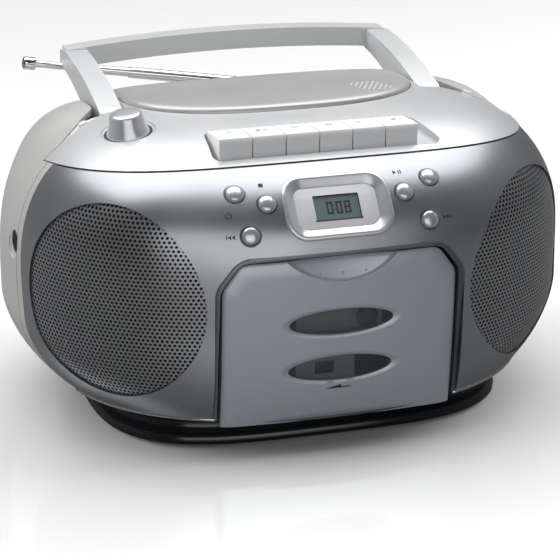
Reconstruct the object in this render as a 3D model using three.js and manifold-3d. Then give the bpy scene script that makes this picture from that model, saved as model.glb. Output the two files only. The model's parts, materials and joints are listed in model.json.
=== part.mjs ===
// Portable radio with a cassette deck and a top-loading disc player, in millimetres.
// +Z is up and the front faces -Y. The origin is on the floor below the middle of the object's box.
import * as THREE from 'three';
import { mergeVertices } from 'three/addons/utils/BufferGeometryUtils.js';
import Module from 'manifold-3d';

const wasm = await Module();
wasm.setup();

// ---------- driving dimensions ----------
const GAP = 0.3;
const WALL = 2.6;
const BODY = {
  halfWidth: 155,
  front: 117.5,
  rear: 124.9,
  up: 100,
  down: 76,
  midY: -5,
  midZ: 63.6,
  planMiddle: 2.25,
  planTop: 4.8,
  frontPower: 2.34,
  rearPower: 2.24,
  topPower: 3.7,
  bottomPower: 1.85,
  fullness: 0.8,
  floorZ: 19.5,
};
const SEAM = { y: -36.6, lean: 0.11, atZ: 80 };
const TOP_SEAM = { z: 151.3, fall: -0.12, atY: -85 };
const SHOULDER = { x: 100, y: 14, sideX: 124, sideY: -16, turnY: 58, backX: 56, backY: 106 };
const PLINTH = {
  halfX: 114,
  halfY: 93,
  power: 3.4,
  bottom: 2,
  flangeTop: 8,
  inset: 4,
  top: 16.4,
  plate: 19.2,
};
const FOOT = { x: 84, y: 62, radius: 8, height: 1.7 };
const SPEAKER = {
  x: 76.7,
  y: -40,
  z: 84.5,
  turnDeg: 40.6,
  radius: 51.5,
  clearance: 0.5,
  near: 12,
  far: 140,
  basket: [
    [0, 0], [19, 0], [19, 10], [14, 12], [30, 24], [36, 25.5],
    [36, 28], [31, 28], [27, 25], [13, 15], [0, 15],
  ],
  cone: [
    [0, 15.6], [10, 15.6], [11.5, 17.4], [25, 26.6], [30.4, 28.6],
    [29, 29.8], [23, 28.4], [10, 19.4], [0, 21.6],
  ],
  start: 2,
};
const DOOR = {
  halfX: 63.2,
  bottom: 18,
  shoulderZ: 94,
  topHalfX: 53.3,
  top: 108,
  frontY: -113,
  skin: 2.4,
  rimDepth: 14,
  rim: 2,
  gap: 1.5,
  cheek: 2.8,
  cheekFront: -107.5,
  cheekBack: -100,
  sweepY: -94.6,
};
const WINDOW = { halfX: 28.2, halfZ: 7, upperZ: 73, lowerZ: 46.8, skin: 1.6 };
const KEY = {
  count: 6,
  pitch: 18.15,
  gap: 0.6,
  frontY: -76.7,
  backY: -50,
  frontTop: 163.8,
  backTop: 161.2,
  bottom: 150.5,
  axleY: -38,
  axleZ: 149,
  axleR: 1.5,
};
const KEY_WELL = { left: -57.6, right: 66, front: -78.4, back: -49.2 };
const BUTTON = { radius: 5.3, hole: 5.7, proud: 1.6, depth: 5 };
const BUTTONS = [
  ['standby_button', -52.5, 141.3],
  ['stop_button', -37, 136.5],
  ['back_button', -48.2, 123.1],
  ['play_button', 37, 136.5],
  ['mode_button', 52.5, 141.3],
  ['next_button', 48.2, 123.1],
];
const DISPLAY = { z: 132.6, halfX: 28.5, halfV: 17.6, innerX: 21.8, innerV: 11.9, proud: 1.2, corner: 11 };
const LID = { halfX: 83, halfY: 63.5, y: 35.5, power: 2.9, proud: 3, skin: 2.4, gap: 0.5 };
const DISC = { y: 35.5, radius: 61.5, floor: 131.5, deck: 134.5, under: 128 };
const LID_SLOT = { halfX: 46, front: 90, floor: 130.5 };
const TUB = { halfX: 83.1, halfY: 65.6, innerX: 80.6, innerY: 62.6 };
const HANDLE = {
  inner: 85,
  outer: 98,
  pivotY: 12,
  pivotZ: 153,
  endR: 8,
  barFront: 97.5,
  barBack: 110,
  barBottom: 161,
  barTop: 172.5,
  arch: 5,
  boreR: 3,
  pinR: 2.9,
};
const TROUGH = { inner: 84.4, outer: 98.7, front: 1.6, rear: 66, floor: 141.5, wall: 1.2 };
const KNOB = { x: -91.7, y: -32, baseR: 11.5, topR: 8.4, height: 11.5, recessR: 14 };
const SLIDER = { x: 110, y: -4, length: 30, width: 5, turnDeg: 33 };
const TUNER = { x: 137, y: -8, radius: 24, width: 5, proud: 2.2 };
const BATTERY = { halfX: 70, low: 34, high: 70, front: 62, wall: 2 };
const INLET = { x: 96, z: 46, width: 21, height: 13, depth: 16 };
const JACK = { y: -22, z: 101, radius: 1.9, ring: 6, length: 14 };
const ANTENNA = {
  pivot: [92, 115, 127.9],
  tip: [-119, 115, 162.6],
  bossR: 8.5,
  bossEnd: 106.4,
  r1: 3.3,
  bore1: 2.8,
  r2: 2.6,
  bore2: 2.15,
  r3: 1.95,
  length1: 150,
  start2: 42,
  end2: 184,
  start3: 70,
  capR: 3.7,
  capLength: 7.4,
};
const DECK = { plateY: -89.5, plateT: 2.4, spindleX: 21.25, spindleZ: 59, capstanX: 13, capstanZ: 87 };

// ---------- helpers ----------
const X = new THREE.Vector3(1, 0, 0);
const Y = new THREE.Vector3(0, 1, 0);
const Z = new THREE.Vector3(0, 0, 1);
const vec = (x, y, z) => new THREE.Vector3(x, y, z);

function toSolid(geometry) {
  const bare = geometry.clone();
  bare.deleteAttribute('normal');
  bare.deleteAttribute('uv');
  const merged = mergeVertices(bare, 1e-4);
  const mesh = new wasm.Mesh({
    numProp: 3,
    vertProperties: new Float32Array(merged.attributes.position.array),
    triVerts: new Uint32Array(merged.index.array),
  });
  return new wasm.Manifold(mesh);
}

function toGeometry(solid) {
  const mesh = solid.getMesh();
  const geometry = new THREE.BufferGeometry();
  geometry.setAttribute('position', new THREE.BufferAttribute(new Float32Array(mesh.vertProperties), 3));
  geometry.setIndex(new THREE.BufferAttribute(new Uint32Array(mesh.triVerts), 1));
  geometry.computeVertexNormals();
  return geometry;
}

// A matrix that sends local x, y, z to the directions u, v, u x v at a point.
function frameAt(point, u, v) {
  const w = u.clone().cross(v);
  return new THREE.Matrix4().makeBasis(u, v, w).setPosition(point);
}

function block(x0, x1, y0, y1, z0, z1) {
  const box = new THREE.BoxGeometry(x1 - x0, y1 - y0, z1 - z0);
  box.translate((x0 + x1) / 2, (y0 + y1) / 2, (z0 + z1) / 2);
  return toSolid(box);
}

// A round bar from one point to another.
function bar(from, to, radius, sides = 16, endRadius = radius) {
  const length = from.distanceTo(to);
  const shape = new THREE.CylinderGeometry(endRadius, radius, length, sides);
  const turn = new THREE.Quaternion().setFromUnitVectors(Y, to.clone().sub(from).normalize());
  shape.applyQuaternion(turn);
  const middle = from.clone().add(to).multiplyScalar(0.5);
  shape.translate(middle.x, middle.y, middle.z);
  return toSolid(shape);
}

// A turned shape: profile points are [radius, height] about the direction axis, from a point.
function turned(profile, point, axis, sides = 20) {
  const shape = new THREE.LatheGeometry(profile.map(([r, h]) => new THREE.Vector2(r, h)), sides);
  shape.applyQuaternion(new THREE.Quaternion().setFromUnitVectors(Y, axis));
  shape.translate(point.x, point.y, point.z);
  return toSolid(shape);
}

function outline(points) {
  return new THREE.Shape(points.map(([x, y]) => new THREE.Vector2(x, y)));
}

function superellipse(halfX, halfY, power, count, midX = 0, midY = 0) {
  const points = [];
  for (let i = 0; i < count; i += 1) {
    const angle = (2 * Math.PI * i) / count;
    const c = Math.cos(angle);
    const s = Math.sin(angle);
    const x = midX + halfX * Math.sign(c) * Math.abs(c) ** (2 / power);
    const y = midY + halfY * Math.sign(s) * Math.abs(s) ** (2 / power);
    points.push([x, y]);
  }
  return outline(points);
}

function extrude(shape, depth, matrix) {
  const body = new THREE.ExtrudeGeometry(shape, { depth, bevelEnabled: false, curveSegments: 3 });
  body.applyMatrix4(matrix);
  return toSolid(body);
}

// Outline in X and Y, from z0 to z1.
const standing = (shape, z0, z1) => extrude(shape, z1 - z0, frameAt(vec(0, 0, z0), X, Y));
// Outline in X and Z, from y0 to y1.
const facing = (shape, y0, y1) => extrude(shape, y1 - y0, frameAt(vec(0, y1, 0), X, Z));
// Outline in Y and Z, from x0 to x1.
const sideways = (shape, x0, x1) => extrude(shape, x1 - x0, frameAt(vec(x0, 0, 0), Y, Z));

// ---------- the cabinet's envelope ----------
const FAR = 400;
// How far a cutter reaches below and above the skin that it cuts.
const BELOW = 12;
const ABOVE = 12;
const FINE = [34, 18];
const COARSE = [20, 12];
// The level is 1 on the envelope that lies inset millimetres inside the outer surface.
// Fullness keeps the front's lower edge from tucking in under the cabinet.
function bodyLevel(x, y, z, inset) {
  const dy = y - BODY.midY;
  const dz = z - BODY.midZ;
  const depth = (dy < 0 ? BODY.front : BODY.rear) - inset;
  const height = (dz > 0 ? BODY.up : BODY.down) - inset;
  const blend = dz > 0 ? Math.min(dz / height, 1) ** 2 : 0;
  const plan = BODY.planMiddle + (BODY.planTop - BODY.planMiddle) * blend;
  const along = (Math.abs(x) / (BODY.halfWidth - inset)) ** plan;
  const across = (Math.abs(dy) / depth) ** (dy < 0 ? BODY.frontPower : BODY.rearPower);
  const full = dz < 0 && dy < 0 ? 1 - BODY.fullness * Math.min(-dy / depth, 1) ** 2 : 1;
  const upward = (Math.abs(dz) / height) ** (dz > 0 ? BODY.topPower : BODY.bottomPower);
  return along + across + full * upward;
}

// Distance from a point inside the envelope to it, along a direction.
function reach(point, direction, inset, far = 400) {
  let near = 0;
  let past = far;
  for (let i = 0; i < 48; i += 1) {
    const t = (near + past) / 2;
    const at = point.clone().addScaledVector(direction, t);
    if (bodyLevel(at.x, at.y, at.z, inset) < 1) near = t;
    else past = t;
  }
  return near;
}

function onSurface(point, direction, inset = 0) {
  return point.clone().addScaledVector(direction, reach(point, direction, inset));
}

function normalAt(p) {
  const h = 0.01;
  const slope = (a, b) => bodyLevel(a.x, a.y, a.z, 0) - bodyLevel(b.x, b.y, b.z, 0);
  const step = (axis) => [p.clone().addScaledVector(axis, h), p.clone().addScaledVector(axis, -h)];
  return vec(slope(...step(X)), slope(...step(Y)), slope(...step(Z))).normalize();
}

function envelope(inset, around = FINE[0], rings = FINE[1]) {
  const ball = new THREE.SphereGeometry(1, around, rings);
  ball.rotateX(Math.PI / 2);
  const centre = vec(0, BODY.midY, BODY.midZ);
  const position = ball.attributes.position;
  for (let i = 0; i < position.count; i += 1) {
    const d = vec().fromBufferAttribute(position, i);
    const direction = vec(d.x * BODY.halfWidth, d.y * BODY.front, d.z * BODY.up).normalize();
    const p = onSurface(centre, direction, inset);
    position.setXYZ(i, p.x, p.y, p.z);
  }
  return toSolid(ball);
}

const outer = envelope(0);
const inner = envelope(WALL, ...COARSE);
const shell = outer.subtract(inner);

// Half-spaces: ahead of the front and rear cabinets' seam, and above the top cabinet's seam.
function aheadOfSeam(shift) {
  const y = (z) => SEAM.y + SEAM.lean * (z - SEAM.atZ) + shift;
  return sideways(outline([[-FAR, -FAR], [y(-FAR), -FAR], [y(FAR), FAR], [-FAR, FAR]]), -FAR, FAR);
}
function aboveTopSeam(shift) {
  const z = (y) => TOP_SEAM.z + TOP_SEAM.fall * (y - TOP_SEAM.atY) + shift;
  return sideways(outline([[-FAR, z(-FAR)], [FAR, z(FAR)], [FAR, FAR], [-FAR, FAR]]), -FAR, FAR);
}
// Plan outline of the top cabinet, whose rear corners are cut back at the shoulders.
function topPlan(grow) {
  const half = [
    [FAR, -FAR],
    [FAR, SEAM.y],
    [SHOULDER.sideX + grow, SHOULDER.sideY + grow],
    [SHOULDER.x + grow, SHOULDER.y + grow],
    [SHOULDER.x + grow, SHOULDER.turnY + grow],
    [SHOULDER.backX + grow, SHOULDER.backY + grow],
  ];
  const mirrored = half.map(([x, y]) => [-x, y]).reverse();
  return standing(outline([...half, ...mirrored]), 60, FAR);
}
const aboveFloor = block(-FAR, FAR, -FAR, FAR, BODY.floorZ, FAR);

// ---------- nodes ----------
const group = new THREE.Group();
function add(name, solid, colour, roughness, metalness) {
  const material = new THREE.MeshStandardMaterial({ color: colour, roughness, metalness });
  const mesh = new THREE.Mesh(toGeometry(solid), material);
  mesh.name = name;
  group.add(mesh);
}
const SILVER = 0xc9cbce;
const PALE = 0xdfe1e3;
const GREY = 0x9a9da1;
const BLACK = 0x17181a;
const DARK = 0x3a3c40;
const STEEL = 0xb8babd;
const CHROME = 0xe6e8ea;

// Door outline in X and Z, grown all round; the opening runs out below.
function doorOutline(grow, bottom) {
  return outline([
    [-DOOR.halfX - grow, bottom],
    [DOOR.halfX + grow, bottom],
    [DOOR.halfX + grow, DOOR.shoulderZ + grow * 0.5],
    [DOOR.topHalfX + grow * 0.5, DOOR.top + grow],
    [-DOOR.topHalfX - grow * 0.5, DOOR.top + grow],
    [-DOOR.halfX - grow, DOOR.shoulderZ + grow * 0.5],
  ]);
}

function speakerAxis(side) {
  const turn = THREE.MathUtils.degToRad(SPEAKER.turnDeg);
  return {
    base: vec(side * SPEAKER.x, SPEAKER.y, SPEAKER.z),
    out: vec(side * Math.sin(turn), -Math.cos(turn), 0),
  };
}
function speakerHole(side, radius) {
  const { base, out } = speakerAxis(side);
  const near = base.clone().addScaledVector(out, SPEAKER.near);
  return bar(near, base.clone().addScaledVector(out, SPEAKER.far), radius, 32);
}

const displayPoint = onSurface(vec(0, -60, DISPLAY.z), vec(0, -1, 0));
const displayNormal = normalAt(displayPoint);
const displayUp = displayNormal.clone().cross(X);
function roundedOutline(halfX, halfY, radius) {
  const shape = new THREE.Shape();
  const corners = [[halfX, -halfY], [halfX, halfY], [-halfX, halfY], [-halfX, -halfY]];
  const turns = [-Math.PI / 2, 0, Math.PI / 2, Math.PI];
  corners.forEach(([x, y], i) => {
    const cx = x - Math.sign(x) * radius;
    const cy = y - Math.sign(y) * radius;
    shape.absarc(cx, cy, radius, turns[i], turns[i] + Math.PI / 2, false);
  });
  shape.closePath();
  return shape;
}
function displayPrism(halfX, halfV, corner, below, above) {
  const start = displayPoint.clone().addScaledVector(displayNormal, -below);
  return extrude(roundedOutline(halfX, halfV, corner), below + above, frameAt(start, X, displayUp));
}

function buttonPlace([, x, z]) {
  const point = onSurface(vec(x, -50, z), vec(0, -1, 0));
  return { point, normal: normalAt(point) };
}

// The plan of the room behind and beside the piano keys.
function keyWellCut() {
  return standing(
    outline([
      [KEY_WELL.left, KEY_WELL.front],
      [KEY_WELL.right, KEY_WELL.front],
      [KEY_WELL.right + 2, KEY_WELL.front + 5],
      [KEY_WELL.right - 7, KEY_WELL.back],
      [KEY_WELL.left + 2, KEY_WELL.back],
    ]),
    100,
    FAR,
  );
}

function frontCabinet() {
  let body = shell.intersect(aheadOfSeam(-GAP / 2)).intersect(aboveFloor);
  body = body.subtract(aboveTopSeam(-GAP)).subtract(keyWellCut());
  const cheekOutline = doorOutline(DOOR.gap + DOOR.cheek, BODY.floorZ);
  const cheeks = facing(cheekOutline, DOOR.cheekFront, DOOR.cheekBack);
  const tunnel = facing(cheekOutline, -FAR, DOOR.cheekBack).intersect(envelope(GAP, ...COARSE));
  body = body.add(cheeks).add(tunnel).subtract(facing(doorOutline(DOOR.gap, 0), -FAR, DOOR.sweepY));
  for (const side of [-1, 1]) {
    body = body.subtract(speakerHole(side, SPEAKER.radius + SPEAKER.clearance));
  }
  for (const button of BUTTONS) {
    const { point, normal } = buttonPlace(button);
    const low = point.clone().addScaledVector(normal, -BELOW);
    body = body.subtract(bar(low, point.clone().addScaledVector(normal, ABOVE), BUTTON.hole, 14));
  }
  body = body.subtract(displayPrism(DISPLAY.innerX + 2, DISPLAY.innerV + 2, 6, BELOW, ABOVE));
  add('front_cabinet', body, SILVER, 0.38, 0.55);
}

const lidPlan = (grow) => superellipse(LID.halfX + grow, LID.halfY + grow, LID.power, 40, 0, LID.y);

function topPoint(x, y) {
  return onSurface(vec(x, y, 100), vec(0, 0, 1));
}

// A slot that follows the shoulder's edge: the place of a slider on either side of the top.
function sliderFrame(side) {
  const point = topPoint(side * SLIDER.x, SLIDER.y);
  const normal = normalAt(point);
  const turn = THREE.MathUtils.degToRad(SLIDER.turnDeg);
  const wanted = vec(side * Math.cos(turn), -Math.sin(turn), 0);
  const along = wanted.addScaledVector(normal, -wanted.dot(normal)).normalize();
  const across = normal.clone().cross(along);
  return { point, normal, along, across };
}
function sliderBlock(side, halfLength, halfWidth, low, high, shift = 0) {
  const { point, normal, along, across } = sliderFrame(side);
  const start = point.clone().addScaledVector(normal, low).addScaledVector(along, shift);
  const shape = roundedOutline(halfLength, halfWidth, halfWidth * 0.45);
  return extrude(shape, high - low, frameAt(start, along, across));
}

const tunerPoint = topPoint(TUNER.x, TUNER.y);
const tunerNormal = normalAt(tunerPoint).setY(0).normalize();
const tunerCentre = tunerPoint.clone().addScaledVector(tunerNormal, TUNER.proud - TUNER.radius);
function tunerDisc(radius, halfWidth) {
  const from = tunerCentre.clone().addScaledVector(Y, -halfWidth);
  return bar(from, tunerCentre.clone().addScaledVector(Y, halfWidth), radius, 32);
}

const knobPoint = topPoint(KNOB.x, KNOB.y);
const knobNormal = normalAt(knobPoint);

function troughCut(side, grow) {
  const x0 = TROUGH.inner - grow;
  const x1 = TROUGH.outer + grow;
  const [low, high] = side > 0 ? [x0, x1] : [-x1, -x0];
  return block(low, high, TROUGH.front - grow, TROUGH.rear + grow, TROUGH.floor - grow, FAR);
}

function topCabinet() {
  let body = shell.intersect(aboveTopSeam(0)).intersect(topPlan(0));
  body = body.subtract(standing(lidPlan(LID.gap), 60, FAR));
  body = body.subtract(keyWellCut());
  const knobLow = knobPoint.clone().addScaledVector(knobNormal, -BELOW);
  const knobHigh = knobPoint.clone().addScaledVector(knobNormal, ABOVE);
  body = body.subtract(bar(knobLow, knobHigh, KNOB.recessR, 28));
  for (const side of [-1, 1]) {
    body = body.subtract(troughCut(side, 0));
    body = body.subtract(sliderBlock(side, SLIDER.length / 2, SLIDER.width / 2, -8, 8));
  }
  add('top_cabinet', largest(body), PALE, 0.36, 0.5);
}

function largest(solid) {
  const parts = solid.decompose();
  return parts.reduce((best, part) => (part.volume() > best.volume() ? part : best));
}

const pivot = vec(...ANTENNA.pivot);
const rodDirection = vec(...ANTENNA.tip).sub(pivot).normalize();

function batteryBox(grow, front, back) {
  const half = BATTERY.halfX + grow;
  return block(-half, half, front, back, BATTERY.low - grow, BATTERY.high + grow);
}

function inletPrism(grow, y0, y1) {
  const shape = roundedOutline(INLET.width / 2 + grow, INLET.height / 2 + grow, 4 + grow);
  return extrude(shape, y1 - y0, frameAt(vec(INLET.x, y1, INLET.z), X, Z));
}

function rearCabinet() {
  let body = shell.subtract(aheadOfSeam(GAP / 2)).intersect(aboveFloor);
  const lidRegion = topPlan(GAP).intersect(aboveTopSeam(-GAP));
  body = body.subtract(lidRegion);
  const bayRoom = batteryBox(0, BATTERY.front + BATTERY.wall, FAR);
  const bay = batteryBox(BATTERY.wall, BATTERY.front, FAR).intersect(envelope(0.6, ...COARSE));
  body = body.add(bay).subtract(bayRoom);
  const boss = bar(pivot.clone().setY(82), pivot.clone().setY(ANTENNA.bossEnd), ANTENNA.bossR, 20);
  body = body.add(boss.subtract(inner));
  body = body.subtract(inletPrism(GAP, 40, FAR));
  const jackOut = vec(-BODY.halfWidth - 10, JACK.y, JACK.z);
  body = body.subtract(bar(vec(-120, JACK.y, JACK.z), jackOut, JACK.ring + GAP, 20));
  for (const side of [-1, 1]) {
    body = body.subtract(troughCut(side, 0));
    body = body.subtract(sliderBlock(side, SLIDER.length / 2, SLIDER.width / 2, -8, 8));
  }
  const slot = block(TUNER.x - 40, TUNER.x + 30, TUNER.y - 4, TUNER.y + 4, 60, FAR);
  body = body.subtract(slot.intersect(tunerDisc(TUNER.radius + 1, 4)));
  add('rear_cabinet', largest(body), SILVER, 0.42, 0.45);
}

function basePlinth() {
  const plate = outer.intersect(block(-FAR, FAR, -FAR, FAR, PLINTH.top - 0.2, PLINTH.plate));
  const sole = superellipse(PLINTH.halfX, PLINTH.halfY, PLINTH.power, 40, 0, BODY.midY);
  const upper = superellipse(
    PLINTH.halfX - PLINTH.inset,
    PLINTH.halfY - PLINTH.inset,
    PLINTH.power,
    40,
    0,
    BODY.midY,
  );
  const hollow = superellipse(
    PLINTH.halfX - PLINTH.inset * 2.5,
    PLINTH.halfY - PLINTH.inset * 2.5,
    PLINTH.power,
    24,
    0,
    BODY.midY,
  );
  let body = standing(sole, PLINTH.bottom, PLINTH.flangeTop);
  body = body.add(standing(upper, PLINTH.flangeTop - 1, PLINTH.top)).add(plate);
  body = body.subtract(standing(hollow, PLINTH.bottom + 3, PLINTH.top + 10));
  body = body.subtract(facing(doorOutline(DOOR.gap, PLINTH.top - 1), -FAR, DOOR.sweepY));
  add('base_plinth', body, BLACK, 0.32, 0.05);
  for (const [name, sx, sy] of [
    ['front_left_foot', -1, -1],
    ['front_right_foot', 1, -1],
    ['rear_left_foot', -1, 1],
    ['rear_right_foot', 1, 1],
  ]) {
    const at = vec(sx * FOOT.x, BODY.midY + sy * FOOT.y, 0);
    add(name, bar(at, at.clone().setZ(FOOT.height), FOOT.radius, 14), DARK, 0.9, 0);
  }
}

function speakers() {
  const outerSkin = envelope(0.4, ...COARSE).subtract(envelope(1.6, ...COARSE));
  for (const [side, word] of [[-1, 'left'], [1, 'right']]) {
    const { base, out } = speakerAxis(side);
    add(`${word}_grille`, largest(outerSkin.intersect(speakerHole(side, SPEAKER.radius))), DARK, 0.5, 0.7);
    const start = base.clone().addScaledVector(out, SPEAKER.start);
    add(`${word}_speaker_basket`, turned(SPEAKER.basket, start, out, 18), DARK, 0.6, 0.6);
    add(`${word}_speaker_cone`, turned(SPEAKER.cone, start, out, 18), BLACK, 0.8, 0);
  }
}

function display() {
  const skin = envelope(-DISPLAY.proud).subtract(envelope(-0.2));
  const ring = displayPrism(DISPLAY.halfX, DISPLAY.halfV, DISPLAY.corner, BELOW, ABOVE).subtract(
    displayPrism(DISPLAY.innerX, DISPLAY.innerV, 5, 14, 14),
  );
  const rim = displayPrism(DISPLAY.innerX + 1.7, DISPLAY.innerV + 1.7, 6, 6, 2).subtract(
    displayPrism(DISPLAY.innerX, DISPLAY.innerV, 5, 14, 14),
  );
  const bezel = skin.intersect(ring).add(rim.intersect(envelope(-0.3)));
  add('display_bezel', largest(bezel), PALE, 0.3, 0.6);
  const plate = displayPrism(DISPLAY.innerX - GAP, DISPLAY.innerV - GAP, 4.7, 4.5, -3);
  add('display_window', plate, CHROME, 0.1, 0);
  add('display_module', displayPrism(15, 9, 1, 10, -5), 0x8c978a, 0.5, 0);
}

function buttons() {
  for (const button of BUTTONS) {
    const { point, normal } = buttonPlace(button);
    const r = BUTTON.radius;
    const profile = [
      [0, -BUTTON.depth],
      [r, -BUTTON.depth],
      [r, BUTTON.proud - 0.9],
      [r - 0.8, BUTTON.proud],
      [r * 0.55, BUTTON.proud + 0.5],
      [0, BUTTON.proud + 0.7],
    ];
    add(button[0], turned(profile, point, normal, 14), PALE, 0.25, 0.6);
  }
}

function keys() {
  const names = ['pause_key', 'stop_eject_key', 'forward_key', 'rewind_key', 'play_key', 'record_key'];
  const profile = outline([
    [KEY.frontY, KEY.bottom],
    [KEY.frontY + 22, KEY.bottom],
    [KEY.backY + 4, KEY.axleZ - 4],
    [KEY.axleY, KEY.axleZ - 4],
    [KEY.axleY + 4, KEY.axleZ],
    [KEY.axleY, KEY.axleZ + 4],
    [KEY.backY + 2, KEY.axleZ + 4],
    [KEY.backY, KEY.axleZ + 7],
    [KEY.backY, KEY.backTop - 0.6],
    [KEY.backY - 0.6, KEY.backTop],
    [KEY.frontY + 0.8, KEY.frontTop],
    [KEY.frontY, KEY.frontTop - 0.8],
  ]);
  const axle = (r, grow) => bar(
    vec(-57 - grow, KEY.axleY, KEY.axleZ),
    vec(57 + grow, KEY.axleY, KEY.axleZ),
    r,
    12,
  );
  names.forEach((name, i) => {
    const x = (i - KEY.count / 2) * KEY.pitch + KEY.gap / 2;
    const body = sideways(profile, x, x + KEY.pitch - KEY.gap).subtract(axle(KEY.axleR + 0.35, 4));
    add(name, body, PALE, 0.4, 0.3);
  });
  add('key_axle', axle(KEY.axleR, 0), STEEL, 0.3, 0.9);
}

function cassetteDoor() {
  const { frontY, skin, rim, rimDepth } = DOOR;
  let body = facing(doorOutline(0, DOOR.bottom), frontY, frontY + rimDepth);
  const hollow = outline([
    [-DOOR.halfX + rim, DOOR.bottom + 1.6],
    [DOOR.halfX - rim, DOOR.bottom + 1.6],
    [DOOR.halfX - rim, DOOR.shoulderZ - rim * 0.5],
    [DOOR.topHalfX - rim * 0.5, DOOR.top - rim],
    [-DOOR.topHalfX + rim * 0.5, DOOR.top - rim],
    [-DOOR.halfX + rim, DOOR.shoulderZ - rim * 0.5],
  ]);
  body = body.subtract(facing(hollow, frontY + skin, frontY + rimDepth + 1));
  for (const z of [WINDOW.upperZ, WINDOW.lowerZ]) {
    const hole = superellipse(WINDOW.halfX + GAP, WINDOW.halfZ + GAP, 2, 32, 0, z);
    body = body.subtract(facing(hole, frontY - 1, frontY + skin + 1));
  }
  add('cassette_door', body, GREY, 0.35, 0.6);
  for (const [name, z] of [['upper_window', WINDOW.upperZ], ['lower_window', WINDOW.lowerZ]]) {
    const pane = superellipse(WINDOW.halfX, WINDOW.halfZ, 2, 32, 0, z);
    add(name, facing(pane, frontY + 0.5, frontY + 0.5 + WINDOW.skin), DARK, 0.1, 0);
  }
  const back = frontY + skin + GAP;
  let holder = block(-54.5, 54.5, back, back + 15, 24, 90);
  holder = holder.subtract(block(-52, 52, back - 1, back + 16, 26, 100));
  for (const x of [-52.5, 46]) holder = holder.add(block(x, x + 6.5, back, back + 1.4, 24, 80));
  add('cassette_holder', holder, DARK, 0.6, 0.2);
}

function tapeDeck() {
  const { plateY, plateT, spindleX, spindleZ, capstanX, capstanZ } = DECK;
  let plate = block(-60, 60, plateY, plateY + plateT, 27, 116);
  plate = plate.add(block(-60, 60, plateY, plateY + 12, 26, 28));
  plate = plate.add(block(-60, 60, plateY, plateY + 30, 116, 118));
  const holes = [[-spindleX, spindleZ, 3.4], [spindleX, spindleZ, 3.4], [capstanX, capstanZ, 2]];
  for (const [x, z, r] of holes) {
    plate = plate.subtract(bar(vec(x, plateY - 1, z), vec(x, plateY + plateT + 1, z), r, 16));
  }
  add('deck_chassis', plate, DARK, 0.5, 0.4);
  const front = plateY - 0.6;
  for (const [name, x] of [['supply_spindle', -spindleX], ['takeup_spindle', spindleX]]) {
    const profile = [
      [0, -plateT - 4.4],
      [7, -plateT - 4.4],
      [7, -plateT - 1.2],
      [2.9, -plateT - 1.2],
      [2.9, 0],
      [9.5, 0],
      [9.5, 1.6],
      [4, 2],
      [3.1, 3],
      [3.1, 10],
      [1.4, 12.5],
      [0, 12.5],
    ];
    add(name, turned(profile, vec(x, front, spindleZ), vec(0, -1, 0), 12), STEEL, 0.4, 0.2);
  }
  const wheel = [
    [0, -plateT - 9],
    [21, -plateT - 9],
    [21, -plateT - 1.6],
    [1.6, -plateT - 1.6],
    [1.2, -plateT],
    [1.2, 11],
    [0, 11],
  ];
  const forward = vec(0, -1, 0);
  add('capstan_flywheel', turned(wheel, vec(capstanX, front, capstanZ), forward, 24), STEEL, 0.3, 0.8);
  let bridge = block(-26, 34, front - 1.6, front, 99, 107);
  bridge = bridge.add(block(-6.5, 6.5, front - 11, front - 1, 95.5, 102.6));
  bridge = bridge.add(block(-9, 9, front - 8, front - 1, 99, 105));
  bridge = bridge.add(bar(vec(capstanX + 9, front - 8.6, 103), vec(capstanX + 9, front, 103), 1.2, 12));
  add('head_bridge', bridge, STEEL, 0.3, 0.8);
  const roller = [[1.6, 2.6], [5, 2.6], [5, 8.4], [1.6, 8.4], [1.6, 2.6]];
  add('pinch_roller', turned(roller, vec(capstanX + 9, front, 103), forward, 18), BLACK, 0.8, 0);
  const motor = [[0, 0], [14, 0], [15, 1], [15, 22], [13, 24], [0, 24]];
  add('deck_motor', turned(motor, vec(-38, plateY + plateT + GAP, 44), Y, 20), STEEL, 0.3, 0.8);
}

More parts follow.
